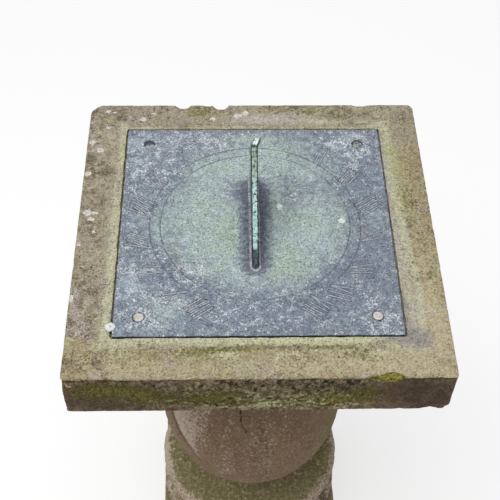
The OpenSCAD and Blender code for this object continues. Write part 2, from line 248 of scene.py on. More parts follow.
class Wire:
    # an output of a material's nodes that takes part in arithmetic, with numbers on either side
    def __init__(self, shade, socket):
        self.shade = shade
        self.socket = socket

    def __add__(self, other):
        return self.shade.sum("ADD", self, other)

    __radd__ = __add__

    def __mul__(self, other):
        return self.shade.sum("MULTIPLY", self, other)

    __rmul__ = __mul__

    def __sub__(self, other):
        return self.shade.sum("SUBTRACT", self, other)

    def __rsub__(self, other):
        return self.shade.sum("SUBTRACT", other, self)

    def absolute(self):
        return self.shade.node("ShaderNodeMath", {"operation": "ABSOLUTE"}, {0: self})

    def ease(self, low, high):
        # 0 at low, 1 at high and a smooth step between
        return self.shade.node("ShaderNodeMapRange", {"interpolation_type": "SMOOTHSTEP"},
                               {"Value": self, "From Min": low, "From Max": high})


class Shade:
    # a material or a world, with short calls for its nodes; a colour is a wire, a triple or a
    # name in the look
    def __init__(self, name, look=None, kind=bpy.data.materials):
        self.material = kind.new(name)
        self.material.use_nodes = True
        self.tree = self.material.node_tree
        self.tree.nodes.clear()
        self.look = look
        self.place = None

    def node(self, kind, settings=None, inputs=None, out=0):
        # adds a node and gives its output; a value is a number, a tuple or another wire
        made = self.tree.nodes.new(kind)
        for key, value in (settings or {}).items():
            setattr(made, key, value)
        for key, value in (inputs or {}).items():
            if isinstance(value, Wire):
                self.tree.links.new(value.socket, made.inputs[key])
            else:
                made.inputs[key].default_value = value
        return Wire(self, made.outputs[out]) if len(made.outputs) else None

    def sum(self, operation, a, b):
        return self.node("ShaderNodeMath", {"operation": operation}, {0: a, 1: b})

    def clamp(self, value):
        return self.node("ShaderNodeMath", {"operation": "ADD", "use_clamp": True}, {0: value, 1: 0.0})

    def field(self, name):
        return self.node("ShaderNodeAttribute", {"attribute_name": name}, out="Fac")

    def noise(self, size, detail=3.0, shift=0.0, distortion=0.0, roughness=0.6):
        # noise stretched to fill 0 to 1, its size in millimetres
        self.place = self.place or self.node("ShaderNodeTexCoord", out="Object")
        moved = self.node("ShaderNodeVectorMath", {"operation": "ADD"},
                          {0: self.place, 1: (shift, shift * 0.7, -shift)})
        made = self.node("ShaderNodeTexNoise", {}, {
            "Vector": moved, "Scale": 1 / (size * mm),
            "Detail": detail, "Roughness": roughness, "Distortion": distortion})
        return self.clamp((made - 0.5) * 2.2 + 0.5)

    def mix(self, factor, a, b):
        return self.node("ShaderNodeMix", {"data_type": "RGBA", "clamp_factor": True},
                         {0: factor, 6: self.colour(a), 7: self.colour(b)}, out=2)

    def colour(self, value):
        if isinstance(value, Wire):
            return value
        return (*(self.look[value] if isinstance(value, str) else value), 1.0)

    def tint(self, base, strength):
        # multiplies a colour by a number that varies over the surface
        grey = self.node("ShaderNodeCombineXYZ", {}, {0: strength, 1: strength, 2: strength})
        return self.node("ShaderNodeMix", {"data_type": "RGBA", "blend_type": "MULTIPLY"},
                         {0: 1.0, 6: self.colour(base), 7: grey}, out=2)

    def layers(self, base, *rows):
        # each row lays a colour where a field passes a limit, its edge broken up by noise of the
        # grain's size; the breakup is the noise's share, and the edge is twice as wide as soft
        for colour, field, grain, breakup, soft, limit, shift in rows:
            edge = self.field(field) + (self.noise(grain, 3.0, shift) - 0.5) * breakup
            base = self.mix(edge.ease(limit - soft, limit + soft), base, colour)
        return base

    def patchy(self, coarse, first, second, patch, third):
        # two colours by noise of a size and detail; a third in patches of finer noise, given as
        # its size, detail, limits and cover
        base = self.mix(self.noise(*coarse, 1), first, second)
        size, detail, low, high, cover = patch
        return self.mix(self.noise(size, detail, 2).ease(low, high) * cover, base, third)

    def bump(self, height, distance, strength=1.0):
        return self.node("ShaderNodeBump", {}, {
            "Height": height, "Distance": distance * mm, "Strength": strength})

    def finish(self, colour, roughness, normal, metallic=0.0, specular=0.4):
        inputs = {"Base Color": colour, "Roughness": roughness, "Normal": normal, "Metallic": metallic,
                  "Specular IOR Level": specular}
        surface = self.node("ShaderNodeBsdfPrincipled", {}, inputs)
        self.node("ShaderNodeOutputMaterial", {}, {"Surface": surface})
        return self.material


# The camera, from the picture's own geometry, and the stage

camera = {
    "place": (-0.03205, -0.72673, 1.54844),
    "down": 0.88637,        # how far it looks down, in radians
    "turn": 0.03574,        # how far it looks to the right
    "roll": 0.02240,
    "lens": 71.74,
}


def makeCamera():
    # forward, right and up from the two turns, then right and up rolled about forward
    down, turn, roll = camera["down"], camera["turn"], camera["roll"]
    forward = Vector((math.sin(turn) * math.cos(down), math.cos(turn) * math.cos(down), -math.sin(down)))
    right = Vector((math.cos(turn), -math.sin(turn), 0))
    up = right.cross(forward)
    rolledRight = math.cos(roll) * right + math.sin(roll) * up
    rolledUp = math.cos(roll) * up - math.sin(roll) * right
    data = bpy.data.cameras.new("camera")
    data.lens = camera["lens"]
    data.sensor_width = 36
    data.clip_end = 50
    made = bpy.data.objects.new("camera", data)
    made.matrix_world = Matrix.Translation(camera["place"]) @ Matrix(
        (rolledRight, rolledUp, -forward)).transposed().to_4x4()
    bpy.context.scene.collection.objects.link(made)
    bpy.context.scene.camera = made


stage = {
    "floorHalf": 8.0,
    "floorGrey": 0.62,      # what the floor throws back at the object
    "shadowShare": 0.42,    # how much of the floor's white comes from the lamps, which keeps the shadow
    "glow": 0.66,
    "sky": 0.46,
    "lampPower": 64.0,
    "lampSize": 2.2,
    "lampPlace": (-0.6, -0.45, 3.3),
    "lampAim": (0, 0, 0.6),
}


def seenShare(shade):
    # 1 for a ray that comes from the camera, straight or by glass or a mirror, and 0 for the rest
    camera, mirror, glass = (shade.node("ShaderNodeLightPath", out="Is " + kind + " Ray")
                             for kind in ("Camera", "Glossy", "Transmission"))
    return shade.clamp(camera + mirror + glass)


def makeStage():
    # a large pale floor, one broad lamp above and to the left, and an even sky
    half = stage["floorHalf"]
    mesh = bpy.data.meshes.new("floor")
    corners = [(-half, -half, 0), (half, -half, 0), (half, half, 0), (-half, half, 0)]
    mesh.from_pydata(corners, [], [(0, 1, 2, 3)])
    floor = bpy.data.objects.new("floor", mesh)
    bpy.context.scene.collection.objects.link(floor)
    shade = Shade("paleFloor")
    grey, white = (shade.node("ShaderNodeBsdfDiffuse", {}, {"Color": (*[stage[key]] * 3, 1)})
                   for key in ("floorGrey", "shadowShare"))
    glow = shade.node("ShaderNodeEmission", {}, {"Color": (1, 1, 1, 1), "Strength": stage["glow"]})
    pale = shade.node("ShaderNodeAddShader", {}, {0: white, 1: glow})
    both = shade.node("ShaderNodeMixShader", {}, {0: seenShare(shade), 1: grey, 2: pale})
    shade.node("ShaderNodeOutputMaterial", {}, {"Surface": both})
    mesh.materials.append(shade.material)

    lamp = bpy.data.lights.new("softLamp", "AREA")
    lamp.shape = "SQUARE"
    lamp.size = stage["lampSize"]
    lamp.energy = stage["lampPower"]
    lampObject = bpy.data.objects.new("softLamp", lamp)
    lampObject.location = stage["lampPlace"]
    aim = Vector(stage["lampAim"]) - Vector(stage["lampPlace"])
    lampObject.rotation_euler = aim.to_track_quat("-Z", "Y").to_euler()
    bpy.context.scene.collection.objects.link(lampObject)

    sky = Shade("sky", kind=bpy.data.worlds)
    strength = sky.node("ShaderNodeMapRange", {},
                        {"Value": seenShare(sky), "To Min": stage["sky"], "To Max": 1.0})
    background = sky.node("ShaderNodeBackground", {}, {"Strength": strength})
    sky.node("ShaderNodeOutputWorld", {}, {"Surface": background})
    bpy.context.scene.world = sky.material
    bpy.context.scene.view_settings.view_transform = "Standard"


makeCamera()
makeStage()
print("camera and stage ready")


# The stone cap

cap = {
    "arris": 2.6,                 # radius of the worn upper edges
    "lowArris": 0.8,
    "gap": 1.7,                   # between the plate and the recess, where grit has narrowed it
    "sidePoints": 212,
    "cornerPoints": 12,
    "cornerCut": 13.0,            # how far the cut back left corner reaches along each side
    # breaks in the top edge of the front and back, and in the bottom edge of the front: how far east,
    # how far the ball's centre stands out, how far above the edge, and its radius
    "frontTop": [(133, 9, 4, 17), (119, 60, 16, 66.3), (145, 60, 16, 65.3), (-96, 9, 8, 13),
                 (40, 8, 7.2, 12), (66, 9, 7, 12.4), (90, 12, 8.4, 15.8), (100, 14, 9, 18),
                 (12, 10, 9, 14), (-20, 12, 9.6, 16)],
    "frontBottom": [(-30, 9, -7, 12), (106, 6, -7, 10), (118, 6, -7, 10.2), (146, 4, -6, 8.4),
                    (134, 9, -9, 13.2), (60, 9, -8, 11), (-108, 12, -9, 14), (172, 30, -30, 44.2)],
    "backTop": [(-86, 4, 3.6, 12), (-94, 12, 8, 17), (-40, 1, 2.4, 11), (-55, 13, 8, 18),
                (41, 30, 14, 36), (134, 28, 14, 34), (96, 12, 9, 15), (168, 12, 9, 14),
                (-140, 12, 9, 15)],
    # hollows eaten into the front face: how far east, how far under the top, and their radius
    "pits": [(-114, 9, 3.6), (-108, 12, 3.0), (-118, 7, 2.6), (-36, 7, 3.2), (-30, 10, 3.6),
             (-24, 12, 2.6), (-14, 8, 4), (-9, 10, 2.6), (54, 10, 4), (66, 17, 3.4), (74, 10, 4.2),
             (80, 16, 3.6), (86, 21, 3.6), (92, 12, 3), (-45, 52, 3), (-32, 40, 3.4), (-26, 46, 3),
             (-38, 44, 2.6), (40, 25, 2.6), (10, 38, 2.4), (-84, 22, 2.2), (104, 33, 2.2), (-100, 16, 2),
             (2, 14, 3), (30, 12, 2.6), (98, 8, 3), (60, 24, 2.4), (-60, 14, 2.4), (48, 14, 3.6),
             (40, 10, 3), (20, 8, 3.2), (66, 8, 3.4), (70, 24, 2.8), (104, 14, 2.6), (-4, 22, 2.6),
             (-20, 16, 2.4), (88, 9, 3.4), (34, 19, 2.6)],
    # spots as east, north, their half widths and strength: one strengthens the pale south band and
    # one moves the east band off the plate; the scoop's lie in a break of the front edge, with their
    # depth under the top in place of north
    "southBand": [(20, -157, 70, 9, 0.35)],
    "eastIn": [(165, -90, 40, 70, 11)],
    "scoop": [(130, 5, 10, 4, 1.1), (120, 4, 7, 2.4, 0.6), (141, 5, 7, 2.6, 0.6)],
}


def capRings():
    # rounded squares from the middle of the underside out, up the sides, in over the top to the
    # recess, whose centre is the plate's, and down its wall to the middle of its floor
    half = slabHigh[0]
    arris, low = cap["arris"], cap["lowArris"]
    innerHalf = plateHigh[0] + cap["gap"]
    floorZ = plateLow[2]
    bottomZ = slabLow[2]
    bend = np.linspace(0, math.pi / 2, 7)
    sizes = [(w, 3, bottomZ, 0) for w in (6, 60, 120, 160, 180, 188)]
    sizes += [(half - low + low * math.sin(a), arris, bottomZ + low - low * math.cos(a), 0) for a in bend]
    sizes += [(half, arris, z, 0) for z in np.linspace(bottomZ + low, slabTop - arris, 34)[1:-1]]
    flat, archZ = half - arris, slabTop - arris
    sizes += [(flat + arris * math.cos(a), arris, archZ + arris * math.sin(a), 0) for a in bend]
    inwards = innerHalf + 1.0 - flat
    sizes += [(flat + inwards * t, arris + 0.9 * t, slabTop, plateMidY * t)
              for t in np.linspace(0, 1, 36)[1:]]
    sizes += [(innerHalf + 1 - math.sin(a), 3.5, slabTop - 1 + math.cos(a), plateMidY) for a in bend[2::2]]
    sizes += [(innerHalf, 3.5, z, plateMidY) for z in np.linspace(slabTop - 1, floorZ, 5)[1:]]
    sizes += [(w, 5, floorZ, plateMidY) for w in (innerHalf - 8, 90, 20)]
    rings = []
    for w, corner, z, midY in sizes:
        loop = squareLoop(w, min(corner, w * 0.9), cap["sidePoints"], cap["cornerPoints"])
        rings.append(level(loop + [0, midY], z))
    return np.array(rings)


def edgeBalls(places, side, z):
    # a break's ball, given along an edge of the south side (-1) or north side (1) at height z
    return [(x, side * (slabHigh[0] + out), z + above, radius) for x, out, above, radius in places]


def capShape():
    # the rings, moved inwards by noise of three sizes, with a lip under the top edge, the breaks
    # pushed in by balls and the cut corner pressed flat
    rings = capRings()
    half = slabHigh[0]
    x, y, z = np.moveaxis(rings, 2, 0)
    fromPlate = np.maximum(abs(x), abs(y - plateMidY)) - plateHigh[0] - cap["gap"]
    inRecess = fromPlate < 0.5
    onTop = ease(slabTop - 1.5, slabTop - 0.2, z)
    under = slabTop - z
    edge = np.minimum(abs(np.maximum(abs(x), abs(y)) - half), 30)
    fromArris = np.hypot(edge * onTop, np.minimum(under, z - slabLow[2]) * (1 - onTop))
    nearEdge = np.exp(-(fromArris / 5) ** 2)
    low = 0.5 + 0.5 * rough(rings, 42, 2, 11)
    middle = 0.5 + 0.5 * rough(rings, 11, 2, 21)
    fine = 0.5 + 0.5 * rough(rings, 4.2, 2, 31)
    onFront = ease(-half + 4, -half + 1, y)
    depth = 0.1 * low + 0.2 * middle + (0.28 + 0.1 * onTop) * fine
    depth += onFront * (1 - onTop) * (0.9 * peaks(rings, 6, 3, 43) + 0.5 * peaks(rings, 20, 2, 44))
    depth += nearEdge * (0.15 * middle + 0.8 * peaks(rings, 7, 2, 41, 0.35))
    depth += onTop * 1.1 * peaks(rings, 60, 2, 46) * ease(1, 8, fromPlate)
    lip = ease(2.5, 5, under) * ease(11, 6, under) * (1 - onTop)
    depth += lip * (1.0 + 0.9 * rough(rings, 16, 2, 51))
    depth = np.where(inRecess, 0.0, np.clip(depth, 0.02, 5))
    underside = (z < slabLow[2] + 0.5) & (edge > 6)
    depth = np.where(underside, 0.3 * depth, depth)
    depth *= 0.3 + 0.7 * ease(slabLow[2], slabLow[2] + 5, z)
    face = outwardNormals(rings, (slabLow[2] + slabTop) / 2)
    face[inRecess] = 0
    rings = rings - face * depth[..., None]
    # grit and moss along the recess make its edge uneven
    x, y, z = np.moveaxis(rings, 2, 0)
    eastWest = abs(x) > abs(y - plateMidY)
    wallPush = ease(2.4, 0.6, abs(np.maximum(abs(x), abs(y - plateMidY)) - plateHigh[0] - cap["gap"]))
    waver = (0.9 * rough(rings, 9, 3, 71) + 0.2) * wallPush * ease(plateLow[2], slabTop - 1, z)
    x += waver * np.sign(x) * eastWest
    y += waver * np.sign(y - plateMidY) * ~eastWest
    bite(rings, edgeBalls(cap["frontTop"], -1, slabTop), 0.05, 100)
    bite(rings, edgeBalls(cap["frontBottom"], -1, slabLow[2]), 0.06, 200)
    bite(rings, edgeBalls(cap["backTop"], 1, slabTop), 0.07, 300)
    pits = [(px, -half - radius * 0.45, slabTop - down, radius) for px, down, radius in cap["pits"]]
    bite(rings, pits, 0.15, 400)
    knocks = [(half + 8, -half - 3, slabLow[2] - 8, 18), (-half - 5, -half - 4, slabTop - 11, 13),
              (half + 6, half + 6, slabTop + 2, 14), (half + 5, -half - 5, slabTop + 4, 11)]
    bite(rings, knocks, 0.06, 500)
    cut = (2 * half - cap["cornerCut"]) / math.sqrt(2)
    over = np.maximum((y - x) / math.sqrt(2) - cut + 0.8 * cloud(rings, 9, 81), 0) / math.sqrt(2)
    x += over
    y -= over
    # the front right corner is worn round: points past an arc there are drawn in to it
    soft = 6.5 + 1.5 * rough(rings, 14, 2, 82)
    dx, dy = x - half + soft, -y - half + soft
    past = (dx > 0) & (dy > 0) & (np.hypot(dx, dy) > soft)
    share = np.where(past, soft / np.maximum(np.hypot(dx, dy), 1e-6), 1)
    x[:] = np.clip(np.where(past, half - soft + dx * share, x), -half, half)
    y[:] = np.clip(np.where(past, soft - half - dy * share, y), -half, half)
    return rings


# spots of growth and stain on the cap's top: east, north, their half widths and strength
capTop = {
    "band": [(92, 168, 60, 5, 0.7), (150, 160, 18, 8, 0.6)],
    "bright": [(150, 118, 30, 12, 0.45), (172, 42, 12, 40, 0.5), (166, 96, 8, 30, 0.4),
               (-28, -154, 40, 4, 0.8), (60, -155, 40, 3, 0.55), (0, 158, 160, 1.6, 0.5),
               (-178, 30, 6, 30, 0.15)],
    "film": [(-62, 186, 20, 12, 0.5), (-165, -165, 40, 18, 0.3), (-160, -178, 30, 8, 0.2),
             (-40, -172, 30, 9, 0.5), (20, -176, 40, 10, 0.35), (90, 188, 60, 12, 0.3),
             (176, 60, 20, 40, 0.3), (176, 10, 14, 30, 0.3), (110, -176, 40, 12, 0.3),
             (-184, -60, 10, 30, 0.3)],
    "fair": [(180, -110, 24, 60, 0.8), (-176, 160, 20, 30, 0.3), (50, 182, 50, 12, 0.35),
             (165, -150, 40, 40, 0.8), (110, -184, 60, 16, 0.7), (158, 20, 8, 130, 0.9),
             (0, -188, 90, 10, 0.5), (-40, -156, 150, 6, 0.35), (20, 171, 60, 8, 0.6),
             (-130, -186, 60, 10, 0.35), (165, 110, 10, 50, 0.4)],
    "crust": [(20, -156, 90, 20, 0.8), (100, -156, 40, 20, 0.4)],
    "cast": [(158, -154, 22, 12, 0.8), (162, -140, 12, 20, 0.3), (134, -154, 14, 4, 0.5),
             (155, -124, 5, 24, 0.55), (154, -90, 3, 30, 0.35), (176, -164, 14, 9, 0.2)],
    "blobs": [(-35, -172, 22, 6, 0.9), (30, -171, 34, 5, 0.75), (122, -168, 14, 4, 0.7),
              (-80, -170, 16, 5, 0.3)],
    "olive": [(-65, 186, 18, 12, 1.0), (-60, -167, 25, 5.2, 1.35), (20, -162.8, 60, 2.5, 1.2),
              (82, -162.8, 26, 2.4, 0.95), (-16, -163.5, 20, 4, 1.1), (100, -172, 22, 9, 0.68),
              (-108, -163, 14, 3, 0.5), (150, 88, 6, 20, 0.3), (176, 60, 12, 20, 0.35),
              (176, 22, 12, 14, 0.35), (60, 188, 46, 8, 0.7), (108, 178, 24, 7, 0.6),
              (188, 126, 8, 24, 0.4), (-190, 100, 8, 24, 0.3), (120, 164, 34, 2.4, 0.7),
              (-90, 163, 60, 2.0, 0.5), (-192, -44, 8, 30, 0.35), (188, -68, 8, 9, 0.7),
              (175, -78, 10, 4, 0.5), (-55, -174, 34, 7, 0.45), (-120, -168, 20, 5, 0.35),
              (-172, 82, 6, 10, 0.4), (160, 150, 14, 6, 0.35), (184, 176, 12, 14, 0.15)],
    "bare": [(176, -128, 20, 24, 0.85), (157, -50, 4, 70, 0.9), (155, 60, 3, 90, 0.8),
             (5, 171, 42, 9, 0.75), (-192, 130, 10, 30, 0.5), (-188, -120, 12, 40, 0.55),
             (-182, -150, 12, 20, 0.4), (120, -178, 40, 14, 0.3), (196, 0, 4, 180, 0.3),
             (-40, -197, 140, 3, 0.3), (-110, -150, 40, 3, 0.5), (157, -120, 7, 40, 0.8),
             (156, 30, 4.5, 130, 0.55), (60, 180, 40, 10, 0.6), (-150, -196, 50, 5, 0.4),
             (-196, 170, 8, 20, 0.5), (60, -172, 50, 6, 0.2), (-100, 188, 40, 6, 0.3)],
    "stain": [(-180, 84, 22, 5, 0.45), (-162, 158, 6, 6, 0.5), (-196, 108, 8, 12, 0.35),
              (-64, 184, 14, 12, 0.4), (90, 192, 40, 6, 0.3), (118, 184, 16, 9, 0.35),
              (30, 194, 30, 4, 0.3), (-176, 150, 18, 26, -0.2), (-110, 184, 30, 12, -0.1),
              (-182, 10, 12, 34, 0.32), (-170, -182, 30, 8, 0.2), (-188, -90, 8, 30, 0.3),
              (160, -176, 40, 12, -0.3), (-110, -190, 60, 8, -0.15)],
    "lichen": [(-190, 21, 5, 5, 1.4), (-185, 11, 3.6, 3, 1.3), (-181, 21, 3, 2.4, 1.1),
               (-194.5, 82.5, 4.4, 3.6, 1.4), (-181, -7.5, 2.4, 2.4, 1.2), (-134, 174, 4.2, 3.8, 1.3),
               (-19, 179, 4.6, 3.6, 1.3), (-9, 184, 4, 4.4, 1.4), (-49.5, 174, 4.2, 3.2, 1.2),
               (-178, 187, 3.2, 3.2, 1.1), (-170, 185.5, 2.6, 2.6, 1), (-182.5, 121, 6.5, 5.5, 0.85),
               (-193, 134, 5.5, 6, 0.85), (-176, 159, 4.5, 3.2, 0.85), (-196, -25, 2.8, 3, 1),
               (-197, -99, 4.5, 7, 0.9), (-150, 178, 2.4, 2.4, 0.8), (-122, 184, 3.4, 2.6, 0.8),
               (-188, 60, 3, 4, 0.6), (-166, -60, 2, 2, 0.6), (30, 174, 2, 2, 0.8), (180, 75, 3, 4, 0.5),
               (186, 20, 2.5, 3, 0.5), (18, -176, 4, 3.4, 0.7), (60, -180, 3, 2, 0.5),
               (170, 40, 4, 5, 0.5)],
}

# and on its front: east, down from the top, their half widths and strength
capFront = {
    "algae": [(-160, 22, 40, 15, 1.25), (-120, 32, 26, 14, 0.6), (-90, 42, 40, 10, 0.7),
              (-36, 38, 26, 14, 0.75), (30, 48, 60, 9, 0.75), (80, 42, 26, 16, 0.55),
              (0, 12, 90, 7, 0.15), (100, 22, 16, 14, 0.45), (20, 28, 90, 14, 0.3), (70, 36, 50, 14, 0.3),
              (-70, 30, 40, 16, 0.3), (118, 36, 16, 16, 0.4)],
    "paleMoss": [(-98, 42, 26, 5, 0.85), (-60, 50, 16, 5, 0.7), (40, 48, 46, 7, 0.9),
                 (-20, 55, 40, 4, 0.8), (0, 36, 40, 7, 0.5), (8, 50, 14, 6, 0.6), (90, 52, 20, 4, 0.6),
                 (-10, 30, 60, 12, 0.45), (70, 32, 40, 12, 0.6), (30, 56, 90, 4, 0.3)],
    "gloom": [(-185, 40, 60, 30, 0.75), (-150, 12, 70, 14, 0.4), (165, 30, 52, 60, 1.15),
              (-110, 56, 70, 10, 0.5)],
    "lifted": [(50, 50, 60, 12, 1.0), (-20, 48, 40, 10, 0.5), (100, 48, 30, 12, 0.4)],
    "fresh": [(-193, 14, 5, 2.2, 1.3)],
}


def capFields(rings):
    # where each growth, stain and painted shade lies, by the distance to the plate, the edge and the spots
    x, y, z = np.moveaxis(rings, 2, 0)
    half = slabHigh[0]
    down = slabTop - z
    fromPlate = np.maximum(abs(x) - plateHigh[0], abs(y - plateMidY) - (plateHigh[1] - plateMidY))
    side = ease(1.2, 3.5, down) * (fromPlate > 3)
    west, east = ease(-149, -155, x), ease(149, 155, x)
    south = ease(plateLow[1] + 2, plateLow[1] - 4, y)
    north = ease(plateHigh[1] - 2, plateHigh[1] + 4, y)
    waver = 2.6 * rough(rings, 30, 3, 5)
    near = fromPlate + waver
    top = {name: spots(x, y, places) for name, places in capTop.items()}
    top["band"] += 0.88 * west * ease(15, 8, near) + 0.85 * north * ease(7, 2, near)
    top["band"] += south * ease(15, 8, near + 0.5 * waver) * (0.75 + spots(x, y, cap["southBand"]))
    eastIn = 5 + spots(x, y, cap["eastIn"])
    top["band"] += 1.15 * east * ease(eastIn - 1, eastIn + 3, near) * ease(eastIn + 14, eastIn + 5, near)
    top["bright"] += west * ease(5, 1.5, near - 0.5 * waver) * (0.6 + 0.5 * rough(rings, 40, 2, 6))
    top["film"] += south * 0.42 + east * 0.25 + 0.1 * west + 0.1 * north + 0.22 * rough(rings, 50, 3, 7)
    top["fair"] += 0.2 * rough(rings, 40, 2, 9)
    top["crust"] += 0.3
    top["crust"] *= south * ease(1.4, 2.4, fromPlate) * ease(10.5, 7.5, near - 0.5 * waver)
    top["rimPale"] = south * ease(0.8, 1.6, fromPlate) * ease(3.6, 2.4, fromPlate + 0.2 * waver)
    top["tan"] = 0.3 * rough(rings, 26, 2, 10) + south * ease(14, 24, near) * 0.75
    top["tan"] += east * ease(15, 24, near) * (0.75 - 0.5 * ease(110, 150, y))
    top["stain"] += 0.25 * rough(rings, 36, 2, 8) + west * 0.38 * ease(14, 20, fromPlate)
    top["stain"] += north * 0.22 * ease(6, 14, fromPlate) + east * 0.06 * ease(24, 34, fromPlate)
    front = ease(-half + 14, -half + 3, y) * side
    calm = side * (1 - front)
    face = {name: front * spots(x, down, places) for name, places in capFront.items()}
    face["algae"] += calm * (0.35 + 0.5 * rough(rings, 48, 2, 91)) * ease(62, 20, down)
    face["gloom"] += 0.25 * front * rough(rings, 30, 3, 93) + 0.3 * calm
    # painted shade: dark just under the top edge, in the pits of the front and near the bottom edge
    paintedShade = ease(8, 3.5, down) * side * (0.55 + 0.45 * rough(rings, 24, 2, 92))
    paintedShade += 0.3 * front * ease(6.5, 3.5, down) * ease(118, 96, x)
    for pitX, pitDown, radius in cap["pits"]:
        away = np.hypot(x - pitX, down - pitDown) / (radius * 1.35)
        paintedShade = np.maximum(paintedShade, 1.4 * np.exp(-away ** 2) * front)
    paintedShade = np.maximum(paintedShade, side * ease(57, 61, down) * 0.5)
    scoop = spots(x, down, cap["scoop"]) * ease(-half + 12, -half + 6, y) * ease(0.5, 2.0, down)
    # grit, and painted shade, in the gap between the plate and the recess
    gritAndShade = ease(1.9, 0.9, fromPlate + 0.25 * rough(rings, 6, 2, 12)) * (fromPlate > -3)
    onTop = {name: values * (1 - side) for name, values in top.items()}
    return {**onTop, **face, "side": side, "calm": calm, "paintedShade": paintedShade, "scoop": scoop, "gritAndShade": gritAndShade}


capLook = {
    "warm": (0.425, 0.355, 0.262),
    "grey": (0.420, 0.365, 0.300),
    "brown": (0.165, 0.118, 0.075),
    "pale": (0.600, 0.530, 0.410),
    "pink": (0.580, 0.520, 0.485),
    "film": (0.450, 0.415, 0.245),
    "filmPale": (0.580, 0.545, 0.350),
    "band": (0.605, 0.585, 0.420),
    "crust": (0.620, 0.625, 0.400),
    "rimPale": (0.660, 0.610, 0.450),
    "tan": (0.455, 0.370, 0.215),
    "tanDeep": (0.330, 0.265, 0.140),
    "tanPale": (0.580, 0.495, 0.330),
    "cast": (0.330, 0.300, 0.285),
    "blob": (0.620, 0.590, 0.380),
    "bright": (0.450, 0.460, 0.190),
    "olive": (0.160, 0.155, 0.050),
    "oliveDry": (0.360, 0.330, 0.160),
    "sideBrown": (0.580, 0.445, 0.288),
    "sideDark": (0.130, 0.090, 0.054),
    "gloom": (0.185, 0.118, 0.082),
    "gloomDeep": (0.088, 0.055, 0.038),
    "algae": (0.128, 0.102, 0.022),
    "algaeBright": (0.270, 0.245, 0.048),
    "paleMoss": (0.58, 0.56, 0.31),
    "black": (0.035, 0.026, 0.015),
    "scoop": (0.400, 0.380, 0.065),
    "scoopDeep": (0.150, 0.140, 0.020),
    "lichen": (0.78, 0.74, 0.68),
    "fresh": (0.80, 0.52, 0.40),
}


def capStoneShade():
    # sandstone on top, then growths by their fields, darker algae on the sides and specks over all
    shade = Shade("capStone", capLook)
    noise, field, mix = shade.noise, shade.field, shade.mix
    film = mix(noise(7, 3, 24).ease(0.3, 0.75), "film", "filmPale")
    tan = mix(noise(6, 4, 28, roughness=0.7).ease(0.35, 0.8), "tan", "tanDeep")
    sunny = field("fair") * 0.6 + noise(9, 4, 33, roughness=0.65)
    tan = mix(sunny.ease(0.35, 1.15), tan, "tanPale")
    base = mix(noise(24, 4, 1, distortion=0.4), "warm", "grey")
    base = shade.layers(
        base,
        ("pale", "fair", 22, 0.8, 0.45, 0.5, 23),
        ("pink", "bare", 12, 0.7, 0.42, 0.5, 3),
        (film, "film", 18, 1.0, 0.45, 0.5, 4),
        (tan, "tan", 20, 0.9, 0.4, 0.5, 29),
        ("band", "band", 8, 0.9, 0.42, 0.5, 6),
        ("bright", "bright", 3, 1.2, 0.3, 0.5, 21))
    mottle = noise(8, 6, 2, 0.5, 0.7) + (noise(26, 4, 27, 0.6) - 0.5) * 0.3
    mottle = mottle + field("stain") * 0.46 - field("fair") * 0.22
    base = mix(mottle.ease(0.54, 1.02) * 0.88, base, "brown")
    olive = mix(noise(3.2, 4, 34, roughness=0.7).ease(0.35, 0.7), "olive", "oliveDry")
    base = shade.layers(
        base,
        ("crust", "crust", 5, 1.0, 0.4, 0.5, 30),
        (olive, "olive", 4.2, 1.7, 0.4, 0.62, 5),
        ("blob", "blobs", 4, 1.5, 0.16, 0.75, 35),
        ("rimPale", "rimPale", 5, 0.8, 0.3, 0.6, 31),
        ("cast", "cast", 10, 0.7, 0.5, 0.55, 32))
    lower = mix(noise(8, 6, 7, roughness=0.72).ease(0.2, 0.85), "sideBrown", "sideDark")
    gloom = mix(noise(7, 5, 36, roughness=0.72).ease(0.3, 0.75), "gloomDeep", "gloom")
    lower = mix(field("gloom").ease(0.0, 1.1), lower, gloom)
    lower = shade.layers(
        lower,
        ("algae", "algae", 6, 1.6, 0.36, 0.5, 8),
        ("algaeBright", "algae", 2.6, 1.9, 0.22, 1.15, 9),
        ("paleMoss", "paleMoss", 4.6, 1.7, 0.32, 1.0, 10))
    crevice = noise(3.4, 5, 25, roughness=0.72) - field("gloom") * 0.1 - field("calm") * 0.12
    lower = shade.tint(lower, field("lifted") * 0.3 + 1)
    lower = mix(crevice.ease(0.54, 0.76) * 0.9, lower, "black")
    base = mix(field("side").ease(0.2, 0.7), base, lower)
    base = shade.layers(
        base,
        # painted shade under the top edge, in the pits and near the bottom edge
        ("black", "paintedShade", 4, 2.0, 0.4, 0.95, 11),
        ("scoopDeep", "scoop", 2.6, 1.0, 0.3, 0.38, 12),
        ("scoop", "scoop", 2.0, 1.8, 0.4, 0.85, 26),
        ("lichen", "lichen", 2.6, 0.7, 0.1, 0.55, 13),
        ("fresh", "fresh", 2.5, 0.5, 0.12, 0.6, 14),
        # grit and painted shade in the gap by the plate
        ("black", "gritAndShade", 3.2, 0.9, 0.25, 0.5, 15))
    specks = noise(1.7, 3, 16, roughness=0.7)
    thick = noise(16, 4, 22) * 0.36 - field("fair") * 0.18
    base = mix((specks + thick + field("stain") * 0.1).ease(0.88, 1.04) * 0.8, base, "black")
    base = mix(specks.ease(0.34, 0.12) * (0.45 - 0.35 * field("side")), base, "lichen")
    grain = noise(0.9, 2, 17)
    tone = grain * 0.40 + noise(2.4, 3, 18, roughness=0.7) * 0.56 + 0.56
    base = shade.tint(base, tone)
    height = grain * 0.35 + noise(2.6, 4, 19) * 0.8 + noise(7, 2, 20) * 0.6 - specks.ease(0.62, 0.9) * 0.5
    normal = shade.bump(height, 1.5, 0.95)
    return shade.finish(base, 0.9 - 0.12 * grain, normal, specular=0.25)


capDone = capShape()
makePiece("capStone", [capDone], capStoneShade(), ["cap_slab"], capFields(capDone))


# The dial plate

